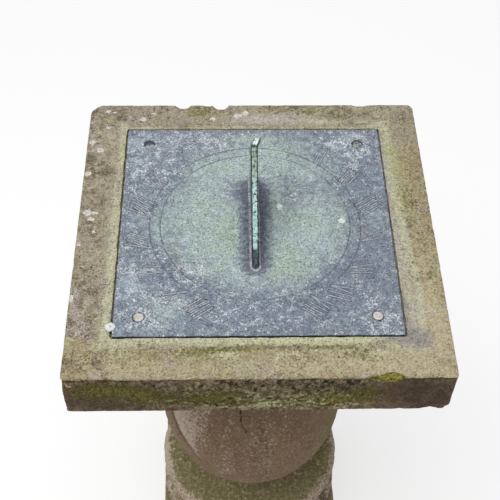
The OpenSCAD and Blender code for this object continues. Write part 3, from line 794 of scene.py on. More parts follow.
dial = {
    "columns": 700,
    "softEdge": 0.9,              # radius of the softened top edge
    "corner": 1.2,                # and of the corners in plan
    "middle": (-0.8, 1.0),        # the scale's centre, from the plate's
    "scale": (106.5, 118.5),      # the hour scale's two circles
    "rim": (145.0, 148.0),
    "lineHalf": 0.45,
    "lineDepth": 0.35,
    "strokeHalf": 0.85,           # half a numeral stroke's width
    "strokeDepth": 0.22,
    "numeralRadius": 132.0,
    "strokeLong": 25.0,
    "numeralReach": 26,           # a numeral's clearness is set inside this radius
    "far": 9.0,                   # the greatest distance kept from a stroke
    "pitch": 5.6,                 # from stroke to stroke
    "latitude": 53.0,
    "hours": (4, 20),
    "styleStart": 66.5,
    "gnomonThick": 8.0,
    "screws": [(-125, 130), (125, 130), (-125, -124), (125, -124)],
    # screwRing: the strength of the painted shade at the wall of each screw's seat
    "screwRing": [1.0, 1.0, 0.5, 0.45],      # how dark the rim of each seat is
    "screwHalf": 6.2,
}
scaleX = dial["middle"][0]
scaleY = plateMidY + dial["middle"][1]

# strokes of each numeral, as letter names; the place round the dial is in degrees from noon,
# clockwise, then how clearly it has survived
numerals = {
    4: ("IIII", -152, 0.95), 5: ("V", -138.5, 0.7), 6: ("VI", -120, 0.45), 7: ("VII", -101, 0.6),
    8: ("VIII", -78, 0.75), 9: ("IX", -59.5, 0.6), 10: ("X", -38, 0.3), 11: ("XI", -18.5, 0.25),
    12: ("XII", 0, 0.1), 13: ("I", 18.5, 0.3), 14: ("II", 37.5, 0.6), 15: ("III", 57.5, 1.0),
    16: ("IIII", 78.5, 0.95), 17: ("V", 99.8, 0.5), 18: ("VI", 120, 0.6), 19: ("VII", 137.5, 0.6),
    20: ("VIII", 151.5, 0.95),
}


def hourAngle(hour):
    # a horizontal dial's hour line: its tangent is the sine of the latitude times the sun's own
    turn = math.radians(15 * (hour - 12))
    return math.atan2(math.sin(math.radians(dial["latitude"])) * math.sin(turn), math.cos(turn))


def letterStrokes(word):
    # each letter's strokes as u, v pairs, u to the right and v up, and the word centred on u = 0
    pitch, tall = dial["pitch"], dial["strokeLong"] / 2
    wide = {"I": pitch, "V": pitch * 1.7, "X": pitch * 1.7}
    u = -sum(wide[c] for c in word) / 2
    strokes = []
    for c in word:
        mid, reach = u + wide[c] / 2, pitch * 0.62
        if c == "I":
            strokes.append((mid, -tall, mid, tall))
        if c == "V":
            strokes += [(mid - reach, tall, mid, -tall), (mid + reach, tall, mid, -tall)]
        if c == "X":
            strokes += [(mid - reach, tall, mid + reach, -tall), (mid + reach, tall, mid - reach, -tall)]
        u += wide[c]
    return strokes


def segmentDistance(x, y, ax, ay, bx, by):
    # distance from each point to the stretch from a to b
    dx, dy = bx - ax, by - ay
    t = np.clip(((x - ax) * dx + (y - ay) * dy) / (dx * dx + dy * dy), 0, 1)
    return np.hypot(x - ax - t * dx, y - ay - t * dy)


def strokeDistances(x, y):
    # distance to the nearest numeral stroke and to the nearest serif, and how clear that numeral is
    stroke = np.full(x.shape, dial["far"])
    serif = stroke.copy()
    clear = np.zeros(x.shape)
    cross = dial["pitch"] * 0.42       # half a serif's length
    for hour, (word, place, power) in numerals.items():
        angle, lean = math.radians(place), hourAngle(hour)
        midX = scaleX + dial["numeralRadius"] * math.sin(angle)
        midY = scaleY + dial["numeralRadius"] * math.cos(angle)
        upX, upY = math.sin(lean), math.cos(lean)
        near = np.hypot(x - midX, y - midY) < dial["numeralReach"]
        for u1, v1, u2, v2 in letterStrokes(word):
            ends = [(midX + u * upY + v * upX, midY - u * upX + v * upY) for u, v in ((u1, v1), (u2, v2))]
            (ax, ay), (bx, by) = ends
            stroke = np.minimum(stroke, segmentDistance(x, y, ax, ay, bx, by))
            for ex, ey in ends:
                outX, outY = cross * upY, -cross * upX
                bar = segmentDistance(x, y, ex - outX, ey - outY, ex + outX, ey + outY)
                serif = np.minimum(serif, bar)
        clear = np.maximum(clear, power * near)
    return stroke, serif, clear


def lineDistances(x, y):
    # distance to the nearest engraved circle or hour line of the scale, and to the nearest rim
    # circle; noon is the gap as wide as the gnomon
    radius = np.hypot(x - scaleX, y - scaleY)
    inner, outer = dial["scale"]
    gap = np.minimum(abs(radius - inner), abs(radius - outer))
    rim = np.minimum(*[abs(radius - r) for r in dial["rim"]])
    inScale = (radius > inner) & (radius < outer)
    originY = scaleY - dial["styleStart"]
    for hour in range(dial["hours"][0], dial["hours"][1] + 1):
        for side in ((-1, 1) if hour == 12 else ((-1,) if hour < 12 else (1,))):
            angle = hourAngle(hour)
            startX = scaleX + side * dial["gnomonThick"] / 2
            across = abs((x - startX) * math.cos(angle) - (y - originY) * math.sin(angle))
            ahead = (x - startX) * math.sin(angle) + (y - originY) * math.cos(angle)
            gap = np.where(inScale & (ahead > 0), np.minimum(gap, across), gap)
    return gap, rim


def dialColumns():
    # directions from the scale's middle, closer together at the numerals and at the screws: equal
    # steps of the summed density
    turn = np.linspace(0, 2 * math.pi, 7200, endpoint=False)
    density = np.ones_like(turn)
    for word, place, power in numerals.values():
        wide = math.radians(1.2 + 1.9 * len(word))
        off = (turn - math.radians(90 - place) + math.pi) % (2 * math.pi) - math.pi
        density += 0.8 * ease(wide * 1.4, wide, abs(off))
    for x, y in dial["screws"]:
        off = (turn - math.atan2(y - scaleY, x - scaleX) + math.pi) % (2 * math.pi) - math.pi
        density += 1.4 * ease(math.radians(4), math.radians(2.6), abs(off))
    total = np.concatenate([[0], np.cumsum(density)])
    steps = np.linspace(0, total[-1], dial["columns"], endpoint=False)
    return np.interp(steps, total, np.linspace(0, 2 * math.pi, 7201))


def dialShape():
    # rings from the scale's middle out to the rim circle, then blended from that circle to the
    # square edge, then down the edge and back under the plate
    turn = dialColumns()
    cos, sin = np.cos(turn), np.sin(turn)
    half = plateHigh[0]
    slimX, slimY = np.maximum(abs(cos), 1e-9), np.maximum(abs(sin), 1e-9)
    toX = (half - np.sign(cos) * scaleX) / slimX
    toY = (half - np.sign(sin) * (scaleY - plateMidY)) / slimY
    reach = np.minimum(toX, toY)
    slope = np.maximum(abs(cos), abs(sin))
    inner, outer = dial["scale"]
    channel = np.array([-0.9, -0.45, -0.2, 0, 0.2, 0.45, 0.9])
    radii = np.concatenate([
        [2, 5], np.arange(8, 102, 3.2), [103.4],
        inner + channel, np.linspace(inner + 2.2, outer - 2.2, 6), outer + channel,
        np.linspace(120, 143.8, 26),
        dial["rim"][0] + np.array([-0.5, -0.2, 0.1, 0.5]),
        dial["rim"][1] + np.array([-1.4, -0.5, -0.2, 0.1, 0.5])])
    last, soft = radii[-1], dial["softEdge"]
    shares = [np.linspace(0, 0.26, 5)[1:], np.linspace(0.26, 0.66, 20)[1:], np.linspace(0.66, 1, 8)[1:]]
    stack = [(r, plateTop) for r in radii]
    stack += [(last + (reach - soft / slope - last) * t, plateTop) for t in np.concatenate(shares)]
    stack += [(reach - soft * (1 - math.sin(a)) / slope, plateTop - soft * (1 - math.cos(a)))
              for a in (0.5, 1.0, math.pi / 2)]
    stack += [(reach, plateTop - 3), (reach, plateLow[2])]
    stack += [(reach * share, plateLow[2]) for share in (0.9, 0.5, 0.1)]
    rings = np.array([level(np.column_stack([r * cos, r * sin]), z) for r, z in stack])
    rings[..., 0] += scaleX
    rings[..., 1] += scaleY - plateMidY
    # round corners: what lies beyond a corner's arc is drawn in to it
    corner = dial["corner"]
    dx, dy = abs(rings[..., 0]) - (half - corner), abs(rings[..., 1]) - (half - corner)
    beyond = (dx > 0) & (dy > 0)
    pull = np.where(beyond, np.minimum(1, corner / np.maximum(np.hypot(dx, dy), 1e-6)), 1)
    for axis, over in ((0, dx), (1, dy)):
        flat = rings[..., axis]
        drawn = np.where(beyond, half - corner + over * pull, abs(flat))
        rings[..., axis] = np.sign(flat) * drawn
    rings[..., 1] += plateMidY
    return rings


def dialWear(rings):
    # engraved lines and strokes as shallow channels, countersunk seats as snapped pits, edges dented
    x, y = rings[..., 0].copy(), rings[..., 1].copy()
    top = ease(plateTop - 1.2, plateTop - 0.6, rings[..., 2])
    gap, rim = lineDistances(x, y)
    stroke, serif, clear = strokeDistances(x, y)
    worn = 0.62 + 0.5 * rough(rings, 38, 2, 611)
    depth = dial["lineDepth"] * ease(dial["lineHalf"] + 0.35, 0.1, np.minimum(gap, rim + 0.2))
    depth *= np.clip(worn, 0.15, 1)
    depth += dial["strokeDepth"] * ease(dial["strokeHalf"] + 0.6, dial["strokeHalf"] - 0.3, stroke) * clear
    depth += 0.12 + 0.10 * rough(rings, 30, 2, 621) + 0.05 * rough(rings, 4, 2, 631)
    depth *= top
    for sx, sy in dial["screws"]:
        dx, dy = x - sx, y - sy
        away = np.maximum(np.hypot(dx, dy), 1e-6)
        wall = dial["screwHalf"] * (1 + 0.03 * rough(rings, 3, 2, 641))
        inside = (away < wall) & (top > 0.5)
        brink = (away >= wall) & (away < wall + 0.8) & (top > 0.5)
        snapped = np.where(inside & (away > wall - 1.2), wall - 0.05, np.where(brink, wall + 0.15, away))
        rings[..., 0] += dx * (snapped / away - 1)
        rings[..., 1] += dy * (snapped / away - 1)
        depth = np.where(inside, 3.4, depth + 0.35 * ease(wall + 2.2, wall, away) * top)
    # painted shade in a ring at the wall of each screw's seat
    seatShade = sum(power * np.exp(-((np.hypot(x - sx, y - sy) - dial["screwHalf"]) / 1.1) ** 2)
               for (sx, sy), power in zip(dial["screws"], dial["screwRing"])) * top
    rings[..., 2] -= depth
    edge = np.maximum(abs(rings[..., 0]), abs(rings[..., 1] - plateMidY)) - plateHigh[0]
    dent = 0.5 * np.clip(0.3 + rough(rings, 12, 3, 651), 0, 1.6) * ease(-3, 0, edge)
    scale = 1 - dent / plateHigh[0]
    rings[..., 0] *= scale
    rings[..., 1] = plateMidY + (rings[..., 1] - plateMidY) * scale
    return rings, {"seatShade": seatShade, "lineGap": gap, "rimGap": rim, "strokeGap": stroke,
                   "serifGap": serif, "clear": clear}


# spots of each tone of the plate's patina: east, north, their half widths and strength
dialTones = {
    "mint": [(40, 44, 22, 26, -0.6), (34, 70, 20, 12, -0.3), (-28, 52, 13, 22, -0.65),
             (60, 54, 20, 16, -0.25), (0, -96, 52, 12, -0.3), (-62, -84, 30, 14, -0.4),
             (70, -84, 22, 18, -0.25), (14, 118, 56, 14, 0.8), (-48, 104, 20, 12, 0.25),
             (84, 92, 14, 14, 0.3), (-96, -118, 20, 12, 0.55), (4, 140, 44, 10, 0.6),
             (-112, -10, 8, 30, 0.25), (40, -96, 40, 10, 0.25), (136, 10, 10, 24, 0.35),
             (-128, 20, 12, 40, 0.2), (-84, -96, 26, 12, 0.25), (-44, 90, 30, 16, 0.4),
             (28, 98, 26, 12, 0.4), (68, 84, 22, 14, 0.35)],
    "halo": [(13, -10, 7, 40, -0.04), (20, 56, 12, 18, 0.2), (-24, 46, 10, 18, 0.2)],
    "blue": [(-138, 132, 22, 12, 0.8), (-134, 104, 16, 20, 0.35), (118, 132, 24, 14, 0.3),
             (-138, -74, 18, 34, 0.65), (-128, -86, 16, 12, 0.3), (120, 144, 12, 8, 0.6),
             (70, 126, 26, 14, 0.45), (-108, 144, 30, 7, 0.4), (-60, -140, 34, 9, 0.3),
             (-120, -140, 24, 8, 0.45)],
    "dusk": [(122, -62, 28, 50, 0.7), (128, -98, 24, 30, 0.5), (135, 94, 18, 34, 0.5),
             (60, -136, 60, 14, 0.8), (-148, 18, 6, 60, 0.4), (0, -146, 130, 5, 0.5),
             (-132, 108, 18, 18, 0.35), (-70, 140, 30, 10, 0.25), (146, -2, 6, 120, 0.35),
             (96, 138, 20, 12, 0.3), (-66, -114, 30, 10, 0.3)],
    "rust": [(-88, -38, 5, 12, 0.65), (-84, -60, 5, 10, 0.65), (29, 65, 4, 4, 0.75),
             (18, 55, 2.4, 2.4, 0.6), (64, -24, 12, 4, 0.35), (120, -12, 7, 22, 0.45),
             (36, -28, 4, 4, 0.4), (-96, -30, 5, 6, 0.4), (58, -23, 6, 3, 0.3), (-50, 31, 5, 4, 0.3),
             (-10, -84, 6, 6, 0.25)],
    "white": [(28, 27, 3.4, 4.4, 1.3), (97, 7, 4.4, 4, 1.3), (26, 32, 2.4, 2.4, 0.9),
              (-60, 73, 2.6, 2.2, 0.6), (32, -130, 4, 3, 0.7), (-57, -107, 4, 2.6, 0.8),
              (20, 74, 1.8, 1.8, 0.5)],
    "streak": [(-62, 130, 5, 6, 0.5), (-26, 138, 8, 3, 0.6), (-46, 134, 9, 6, 0.8),
               (-39, 122, 3.5, 10, 0.8), (-54, 138, 8, 3, 0.75), (-33, 128, 3, 8, 0.7),
               (-134, -66, 14, 2, 0.8), (-118, -62, 16, 2.2, 0.9), (-104, -102, 8, 9, 0.6),
               (34, 148, 3, 3, 0.2)],
    "flecks": [(-118, 98, 34, 44, 0.55), (-122, -112, 34, 30, 0.65), (126, -128, 24, 22, 0.7),
               (120, 118, 34, 30, 0.6), (-134, 120, 14, 30, 0.25), (-134, -32, 18, 40, 0.35),
               (-60, 138, 70, 18, 0.45), (90, 136, 40, 16, 0.4), (-28, 50, 14, 14, 0.45),
               (46, 42, 20, 22, 0.4), (-66, -66, 30, 18, 0.55), (40, -124, 60, 14, 0.3),
               (-40, -122, 40, 14, 0.35), (20, -38, 50, 26, 0.2), (-140, 58, 12, 40, 0.3),
               (70, 114, 30, 20, -0.3), (70, -120, 60, 26, -0.15), (-134, 66, 16, 14, -0.2),
               (128, -22, 16, 50, -0.25), (30, 138, 50, 14, -0.2)],
    "leaf": [(-26, -14, 16, 40, 0.8), (-60, 10, 30, 30, 0.35), (36, -56, 34, 16, 0.75),
             (60, 4, 34, 24, 0.4), (30, 84, 40, 10, 0.45), (-84, -96, 24, 12, 0.7), (0, 140, 30, 8, 0.3),
             (-40, 88, 30, 10, 0.5)],
    "fade": [(40, 108, 90, 40, 0.5), (-100, 28, 30, 60, 0.3), (110, 28, 20, 60, 0.3),
             (-60, -112, 60, 30, -0.5), (0, -122, 90, 20, -0.5)],
}


def dialFields(rings, gaps):
    # where each tone of the patina lies: the spots, with rings of mint and a dark halo at the foot
    x, y, z = np.moveaxis(rings, 2, 0)
    tones = {name: spots(x, y, places) for name, places in dialTones.items()}
    radius = np.hypot(x + 1, y - plateMidY - 3)
    waver = 5 * rough(rings, 30, 3, 701)
    tones["mint"] += 0.1 + 0.45 * ease(120, 94, radius + 1.2 * waver)
    tones["mint"] += 0.45 * ease(104, 56, radius + 1.4 * waver)
    fromFoot = np.hypot(x + 1, np.maximum(0, np.maximum(-52 - y, y - 60)) * 0.9)
    tones["halo"] += ease(30, 5, fromFoot + 2.6 * rough(rings, 16, 3, 711)) * ease(94, 60, y)
    tones["flecks"] += 0.35
    tones["fade"] = np.clip(0.8 + 0.6 * rough(rings, 46, 2, 721) + tones["fade"], 0.05, 1.1)
    # painted shade on all that lies below the plate's top: its sides, its underside and the screw holes
    return {**tones, **gaps, "sunkShade": ease(plateTop - 0.5, plateTop - 1.1, z)}


dialLook = {
    "slate": (0.275, 0.325, 0.408),
    "slateDark": (0.140, 0.168, 0.224),
    "dusk": (0.195, 0.222, 0.292),
    "blue": (0.360, 0.440, 0.520),
    "mint": (0.455, 0.550, 0.580),
    "mintGreen": (0.430, 0.540, 0.480),
    "leaf": (0.445, 0.555, 0.450),
    "mintPale": (0.590, 0.690, 0.670),
    "halo": (0.115, 0.145, 0.195),
    "haloPurple": (0.155, 0.155, 0.225),
    "rust": (0.400, 0.320, 0.200),
    "fleck": (0.820, 0.865, 0.925),
    "mintFleck": (0.680, 0.780, 0.740),
    "white": (0.800, 0.880, 0.860),
    "streak": (0.800, 0.850, 0.850),
    "lineDark": (0.100, 0.125, 0.165),
    "strokePale": (0.600, 0.590, 0.630),
    # the colour of the painted shade below the plate's top
    "sunkShade": (0.022, 0.022, 0.022),
}


def dialBronzeShade():
    # slate patina, its tones laid by field, flecked with pale corrosion in spots and curling
    # threads; the lines are drawn crisply from their distances
    shade = Shade("dialBronze", dialLook)
    noise, field, mix = shade.noise, shade.field, shade.mix
    base = mix(noise(8, 5, 1, distortion=0.5, roughness=0.7), "slateDark", "slate")
    base = shade.layers(
        base,
        ("dusk", "dusk", 12, 0.7, 0.4, 0.5, 2),
        ("blue", "blue", 7, 1.0, 0.4, 0.55, 3))
    wide = noise(34, 5, 4, distortion=0.8, roughness=0.65)
    mint = mix(wide.ease(0.3, 0.7), "mint", "mintGreen")
    mint = shade.layers(mint, ("leaf", "leaf", 14, 0.7, 0.45, 0.5, 28))
    mint = shade.tint(mint, noise(16, 4, 29, distortion=1.2, roughness=0.6) * 0.36 + 0.82)
    mint = mix(noise(4.5, 4, 25, distortion=0.8).ease(0.45, 0.85) * 0.8, mint, "mintPale")
    base = shade.layers(base, (mint, "mint", 7, 0.8, 0.55, 0.5, 5))
    halo = mix(noise(9, 3, 6), "halo", "haloPurple")
    base = shade.layers(
        base,
        (halo, "halo", 5, 0.6, 0.48, 0.55, 7),
        ("rust", "rust", 4, 1.1, 0.5, 0.7, 8))
    patch = noise(8, 3, 18).ease(0.2, 0.8) * 0.35 + field("flecks") * 0.30
    thread = (noise(4.4, 1.5, 9, distortion=2.6) - 0.5).absolute()
    thread = (patch * 0.09 + 0.035 - thread).ease(0.0, 0.03)
    thread = thread * (patch + noise(4.5, 2, 26) * 0.55).ease(0.52, 0.70)
    spotty = (noise(1.7, 2, 10, distortion=1.0, roughness=0.7) + patch).ease(1.01, 1.10)
    pale = mix(field("mint").ease(0.2, 0.8), "fleck", "mintFleck")
    cover = shade.clamp(thread * noise(2.6, 2, 21).ease(0.27, 0.38) + spotty * 0.85)
    cover = cover * (1 - 0.85 * field("halo").ease(0.1, 0.6))
    base = mix(cover * 0.95, base, pale)
    pits = noise(1.9, 3, 11, distortion=0.5, roughness=0.7).ease(0.56, 0.80)
    base = shade.tint(base, 1.0 - pits * 0.5)
    base = shade.layers(
        base,
        ("streak", "streak", 2.2, 1.7, 0.12, 0.8, 12),
        ("white", "white", 2.2, 0.6, 0.16, 0.6, 13))
    # numerals: a painted highlight in each cut stroke, painted shade round its edges and on the serifs
    clear = shade.clamp(field("clear") * 1.3) * noise(8, 3, 14).ease(0.05, 0.4)
    stroke = field("strokeGap") + (noise(1.6, 2, 22) - 0.5) * 0.6
    fill = stroke.ease(0.9, 0.5) * clear
    base = mix(fill * 0.8, base, "strokePale")
    outline = stroke.ease(0.6, 0.95) * stroke.ease(1.9, 1.4) * clear
    serif = field("serifGap").ease(0.6, 0.25) * clear * 0.6
    line = shade.clamp(field("lineGap").ease(0.85, 0.35) * field("fade"))
    line = line * noise(6, 3, 23).ease(0.1, 0.45)
    rim = field("rimGap").ease(0.8, 0.3) * noise(14, 3, 24).ease(0.45, 0.75) * 0.5
    base = mix(outline * 0.95, base, "lineDark")
    base = mix(serif * 0.6, base, "lineDark")
    base = mix(shade.clamp(line * 0.62 + rim), base, "lineDark")
    # painted shade at the walls of the screws' seats
    seatShade = (field("seatShade") + (noise(2, 2, 27) - 0.5) * 0.5).ease(0.3, 0.7)
    base = mix(seatShade * 0.85, base, "lineDark")
    # painted shade on the plate's sides and underside and in the screw holes
    base = mix(field("sunkShade") * 0.9, base, "sunkShade")
    grain = noise(1.2, 3, 15, roughness=0.75)
    base = shade.tint(base, grain * 0.5 + noise(2.6, 3, 16) * 0.4 + 0.57)
    height = cover * 0.7 + grain * 0.7 + noise(4, 3, 17) * 0.6 - pits * 0.8 - outline * 1.2 - line
    normal = shade.bump(height, 0.5, 0.95)
    return shade.finish(base, 0.62 + 0.2 * grain, normal, specular=0.35)


dialDone, dialGaps = dialWear(dialShape())
makePiece("dialPlate", [dialDone], dialBronzeShade(), ["dial_plate"],
          dialFields(dialDone, dialGaps))


# The gnomon

fin = {
    "slope": 53.0,
    "run": 81.0,                  # the style's run on the flat
    "nib": 14.0,
    "backRadius": 120.0,
    "edge": 0.9,                  # radius of the worn arrises
    "foot": -1.7,                 # the blade stands this far east of the plate's middle
    "lean": -1.8,                 # and its top this much further
    "bend": 3.6,                  # the nib's end is bent back east
    "rows": 180,
    "alongPoints": 64,
    "cornerPoints": 6,
    "endPoints": 11,
    "tenons": (20, 96),           # how far north of the toe each tenon starts
    "tenonLong": 22,
}


def finLoop(front, back, thick, edge):
    # a slim rounded rectangle in plan: the style's end, the east face with its two corners, the
    # back end, and the east face's mirror image in reverse
    turn = np.linspace(0, math.pi / 2, fin["cornerPoints"])
    half = thick / 2
    run = np.linspace(front + edge, back - edge, fin["alongPoints"])
    ends = np.linspace(-(half - edge), half - edge, fin["endPoints"])
    east = np.concatenate([
        np.column_stack([half - edge + edge * np.sin(turn), front + edge - edge * np.cos(turn)]),
        np.column_stack([np.full(len(run), half), run]),
        np.column_stack([half - edge + edge * np.cos(turn), back - edge + edge * np.sin(turn)])])
    return np.concatenate([level(ends, front), east, level(ends[::-1], back), east[::-1] * [-1, 1]])


def finShape():
    # plan outlines stacked from the plate up: the style's end moves north as the slope rises, and
    # the back follows its hollow arc; the top closes over the nib
    start, heel = finLow[1], finHigh[1]
    tall = finHigh[2] - plateTop
    nibEnd = start + fin["run"] + fin["nib"]
    run, chord = heel - nibEnd, math.hypot(heel - nibEnd, tall)
    sag = math.sqrt(fin["backRadius"] ** 2 - (chord / 2) ** 2)
    centreY = (nibEnd + heel) / 2 + tall / chord * sag
    centreZ = tall / 2 + run / chord * sag
    topRows = tall - 3 + 3 * np.linspace(0.15, 1, 8)
    heights = np.concatenate([[-5.5], np.linspace(0, tall - 3, fin["rows"]), topRows])
    thick = finHigh[0] - finLow[0]
    rings = []
    for z in heights:
        up = max(z, 0)
        front = start + up / math.tan(math.radians(fin["slope"]))
        back = centreY - math.sqrt(fin["backRadius"] ** 2 - (up - centreZ) ** 2)
        over = max(0, (z - tall) / fin["edge"] + 1)
        inset = fin["edge"] * (1 - math.sqrt(max(0, 1 - over ** 2)))
        rings.append(level(finLoop(front + inset, back - inset, thick - 2 * inset, fin["edge"]), z))
    for share in (0.75, 0.4):
        ring = rings[len(heights) - 1].copy()
        ring[:, 0] *= share
        middle = (ring[:, 1].min() + ring[:, 1].max()) / 2
        ring[:, 1] = middle + (ring[:, 1] - middle) * (1 - 0.25 * (1 - share))
        rings.append(ring)
    rings = np.array(rings)
    # the toe is round in plan: its sides draw in to a half circle
    toe = rings[..., 1] - start - rings[..., 2].clip(0) / math.tan(math.radians(fin["slope"]))
    ahead = np.clip(1 - toe / (thick / 2), 0, 1)
    lowDown = ease(14, 0, rings[..., 2])
    rings[..., 0] *= 1 - (1 - np.sqrt(1 - ahead ** 2)) * lowDown
    return rings, tall


def finWear(rings, tall):
    # pitted faces and nicked arrises, a waist at the kink, the blade leaning west, and the nib's
    # ragged end bent back east
    normal = gridNormals(rings)
    outward = np.sign((normal[..., 0] * rings[..., 0]).sum())
    y, z = rings[..., 1].copy(), rings[..., 2]
    styleY = finLow[1] + z.clip(0) / math.tan(math.radians(fin["slope"]))
    onStyle = ease(3.2, 0.4, y - styleY)
    onTop = ease(tall - 3.5, tall - 2, z)
    arris = np.maximum(onStyle, onTop) * ease(2.1, 3.0, abs(rings[..., 0]))
    nick = peaks(rings, 4.2, 3, 801, 0.05) * arris
    depth = 0.07 * (1 + rough(rings, 2.4, 2, 811)) + 0.1 * (1 + rough(rings, 9, 2, 821)) + 1.3 * nick
    rings = rings - normal * outward * (depth * ease(-0.5, 1, z))[..., None]
    newX, newY, newZ = np.moveaxis(rings, 2, 0)
    kinkY = finLow[1] + fin["run"]
    onHigh = ease(tall - 9, tall - 3, z)
    past = ease(kinkY - 1, kinkY + fin["nib"], y) * onHigh
    waist = np.exp(-((y - kinkY - 1) / 1.6) ** 2) * onHigh
    ragged = ease(kinkY + fin["nib"] - 5, kinkY + fin["nib"], y) * onHigh
    newY -= ragged * 0.9 * (1 + rough(rings, 2.6, 2, 831))
    newX *= 1 - 0.18 * waist - 0.06 * past
    newZ -= 1.3 * waist * onTop + 0.8 * ragged * peaks(rings, 2.2, 2, 841)
    newX += fin["bend"] * past + fin["foot"] + fin["lean"] * z.clip(0) / tall
    newZ[:] = np.minimum(newZ + plateTop, finHigh[2])
    # the waist also lays painted shade in the notch at the kink
    return rings, {"styleFace": np.maximum(onStyle, onTop), "edgeNear": arris, "tall": z,
                   "kink": waist, "nibPast": past}


def boxRings(low, high, edge):
    # a block with soft corners, as rounded rectangles in plan, stacked
    middle, half = (low[:2] + high[:2]) / 2, (high[:2] - low[:2]) / 2
    loop = squareLoop(1.0, 0.12, 8, 4)
    stack = ((low[2], edge), (low[2] + edge, 0), (high[2] - edge, 0), (high[2], edge))
    return np.array([level(middle + loop * (half - inset), z) for z, inset in stack])


finLook = {
    "toe": (0.055, 0.078, 0.110),
    "toeGreen": (0.100, 0.165, 0.185),
    "mint": (0.480, 0.760, 0.750),
    "mintPale": (0.680, 0.920, 0.910),
    "mintDeep": (0.290, 0.500, 0.490),
    "sage": (0.330, 0.450, 0.360),
    "sagePale": (0.520, 0.690, 0.620),
    "brown": (0.270, 0.260, 0.150),
    "nib": (0.760, 0.920, 0.840),
    "side": (0.170, 0.235, 0.235),
    "sideGreen": (0.270, 0.400, 0.370),
    "black": (0.016, 0.026, 0.036),
}


def finBronzeShade():
    # turquoise on the style, sage near the top, dark at the toe, black where the arrises are worn and
    # where the crust has flaked, and painted shade in the notch at the kink
    shade = Shade("gnomonBronze", finLook)
    noise, field, mix = shade.noise, shade.field, shade.mix
    tall = field("tall")
    style = field("styleFace")
    past = field("nibPast")
    mint = mix(noise(4, 3, 1).ease(0.3, 0.7), "mint", "mintPale")
    mint = mix(noise(3, 3, 12, distortion=0.5).ease(0.6, 0.8), mint, "mintDeep")
    sage = mix(noise(3.0, 3, 2).ease(0.3, 0.7), "sage", "sagePale")
    sage = mix(noise(4.2, 3, 3).ease(0.58, 0.8), sage, "brown")
    waver = (noise(7, 3, 4) - 0.5) * 12
    face = mix((tall + waver).ease(74, 86), mint, sage)
    toe = mix(noise(2.6, 3, 5).ease(0.35, 0.75), "toe", "toeGreen")
    face = mix((tall + waver * 0.3).ease(23, 16), face, toe)
    face = mix((past + (noise(2.4, 2, 13) - 0.5) * 0.2).ease(0.12, 0.3), face, "nib")
    flank = mix(noise(8, 4, 6), "side", "sideGreen")
    flank = mix((tall + waver).ease(24, 4), flank, "toe")
    base = mix(style.ease(0.25, 0.7), flank, face)
    worn = field("edgeNear") + noise(5.2, 4, 7, distortion=0.6) - tall.ease(62, 84) * 0.12
    specks = noise(3.0, 4, 8, distortion=0.6).ease(0.68, 0.80)
    flaked = noise(1.3, 2, 14).ease(0.78, 0.92) * 0.8
    # painted shade: black in the notch at the kink
    kink = (field("kink") + (noise(1.8, 2, 15) - 0.5) * 0.5).ease(0.45, 0.75)
    black = shade.clamp(worn.ease(0.82, 0.94) + specks + flaked + kink)
    base = mix(black * 0.92, base, "black")
    grain = noise(1.0, 3, 9)
    base = shade.tint(base, grain * 0.36 + 0.8)
    height = noise(2.4, 4, 10) * 0.8 + grain * 0.4 - black
    return shade.finish(base, 0.6 + 0.22 * grain, shade.bump(height, 0.5, 0.9), specular=0.35)


def tenonBlocks():
    # the two tenons under the plate, as blocks from the blade's west face to its east face
    for south in fin["tenons"]:
        low = np.array([finLow[0], finLow[1] + south, finLow[2]])
        high = np.array([finHigh[0], finLow[1] + south + fin["tenonLong"], plateTop - 1])
        yield boxRings(low, high, 0.6)


finDone, finTones = finWear(*finShape())
makePiece("gnomonBlade", [finDone, *tenonBlocks()], finBronzeShade(), ["gnomon"], finTones)


# The solder bead

bead = {"wide": 2.3, "tall": 1.2, "inside": 0.6, "across": 11}


def stretch(*columns):
    # foot x and y and the outward direction's x and y, as many rows as the longest column
    return np.column_stack(np.broadcast_arrays(*columns))


def beadShape():
    # an arched strip carried round the blade's foot: a half circle at the toe and round corners at
    # the heel; at a share t of its width the height is the root of 1 - t^2.2
    half = (finHigh[0] - finLow[0]) / 2
    toeY, heelY = finLow[1] + half, finHigh[1]
    toe = np.linspace(math.pi, 2 * math.pi, 60, endpoint=False)
    corner = np.linspace(0, math.pi / 2, 14)
    along = np.linspace(0, 1, 190, endpoint=False) * (heelY - toeY)
    path = np.concatenate([
        stretch(half * np.cos(toe), toeY + half * np.sin(toe), np.cos(toe), np.sin(toe)),
        stretch(half, toeY + along, 1, 0),
        stretch(half, heelY, np.cos(corner), np.sin(corner)),
        stretch(half - 2 * half * np.linspace(0.05, 0.95, 9), heelY, 0, 1),
        stretch(-half, heelY, -np.sin(corner), np.cos(corner)),
        stretch(-half, heelY - along, -1, 0)])
    foot, out = path[:, :2], path[:, 2:]
    spot = level(foot, 0)
    wide = bead["wide"] * (0.95 + 0.3 * rough(spot, 7, 3, 901))
    tall = bead["tall"] * (0.75 + 0.25 * rough(spot, 5, 3, 911))
    rings = []
    for t in np.linspace(0, 1, bead["across"]):
        reach = -bead["inside"] + (wide + bead["inside"]) * t
        arch = np.sqrt(np.maximum(0, 1 - t ** 2.2)) * (0.9 + 0.1 * rough(spot + 31 * t, 2.5, 2, 921))
        rings.append(np.column_stack([foot + out * reach[:, None], plateTop + tall * arch - 0.05]))
    rings += [level(foot + out * (wide * t)[:, None], plateTop - 0.3) for t in (0.9, 0.05)]
    rings = np.array(rings)
    rings[..., 0] += fin["foot"]
    return rings


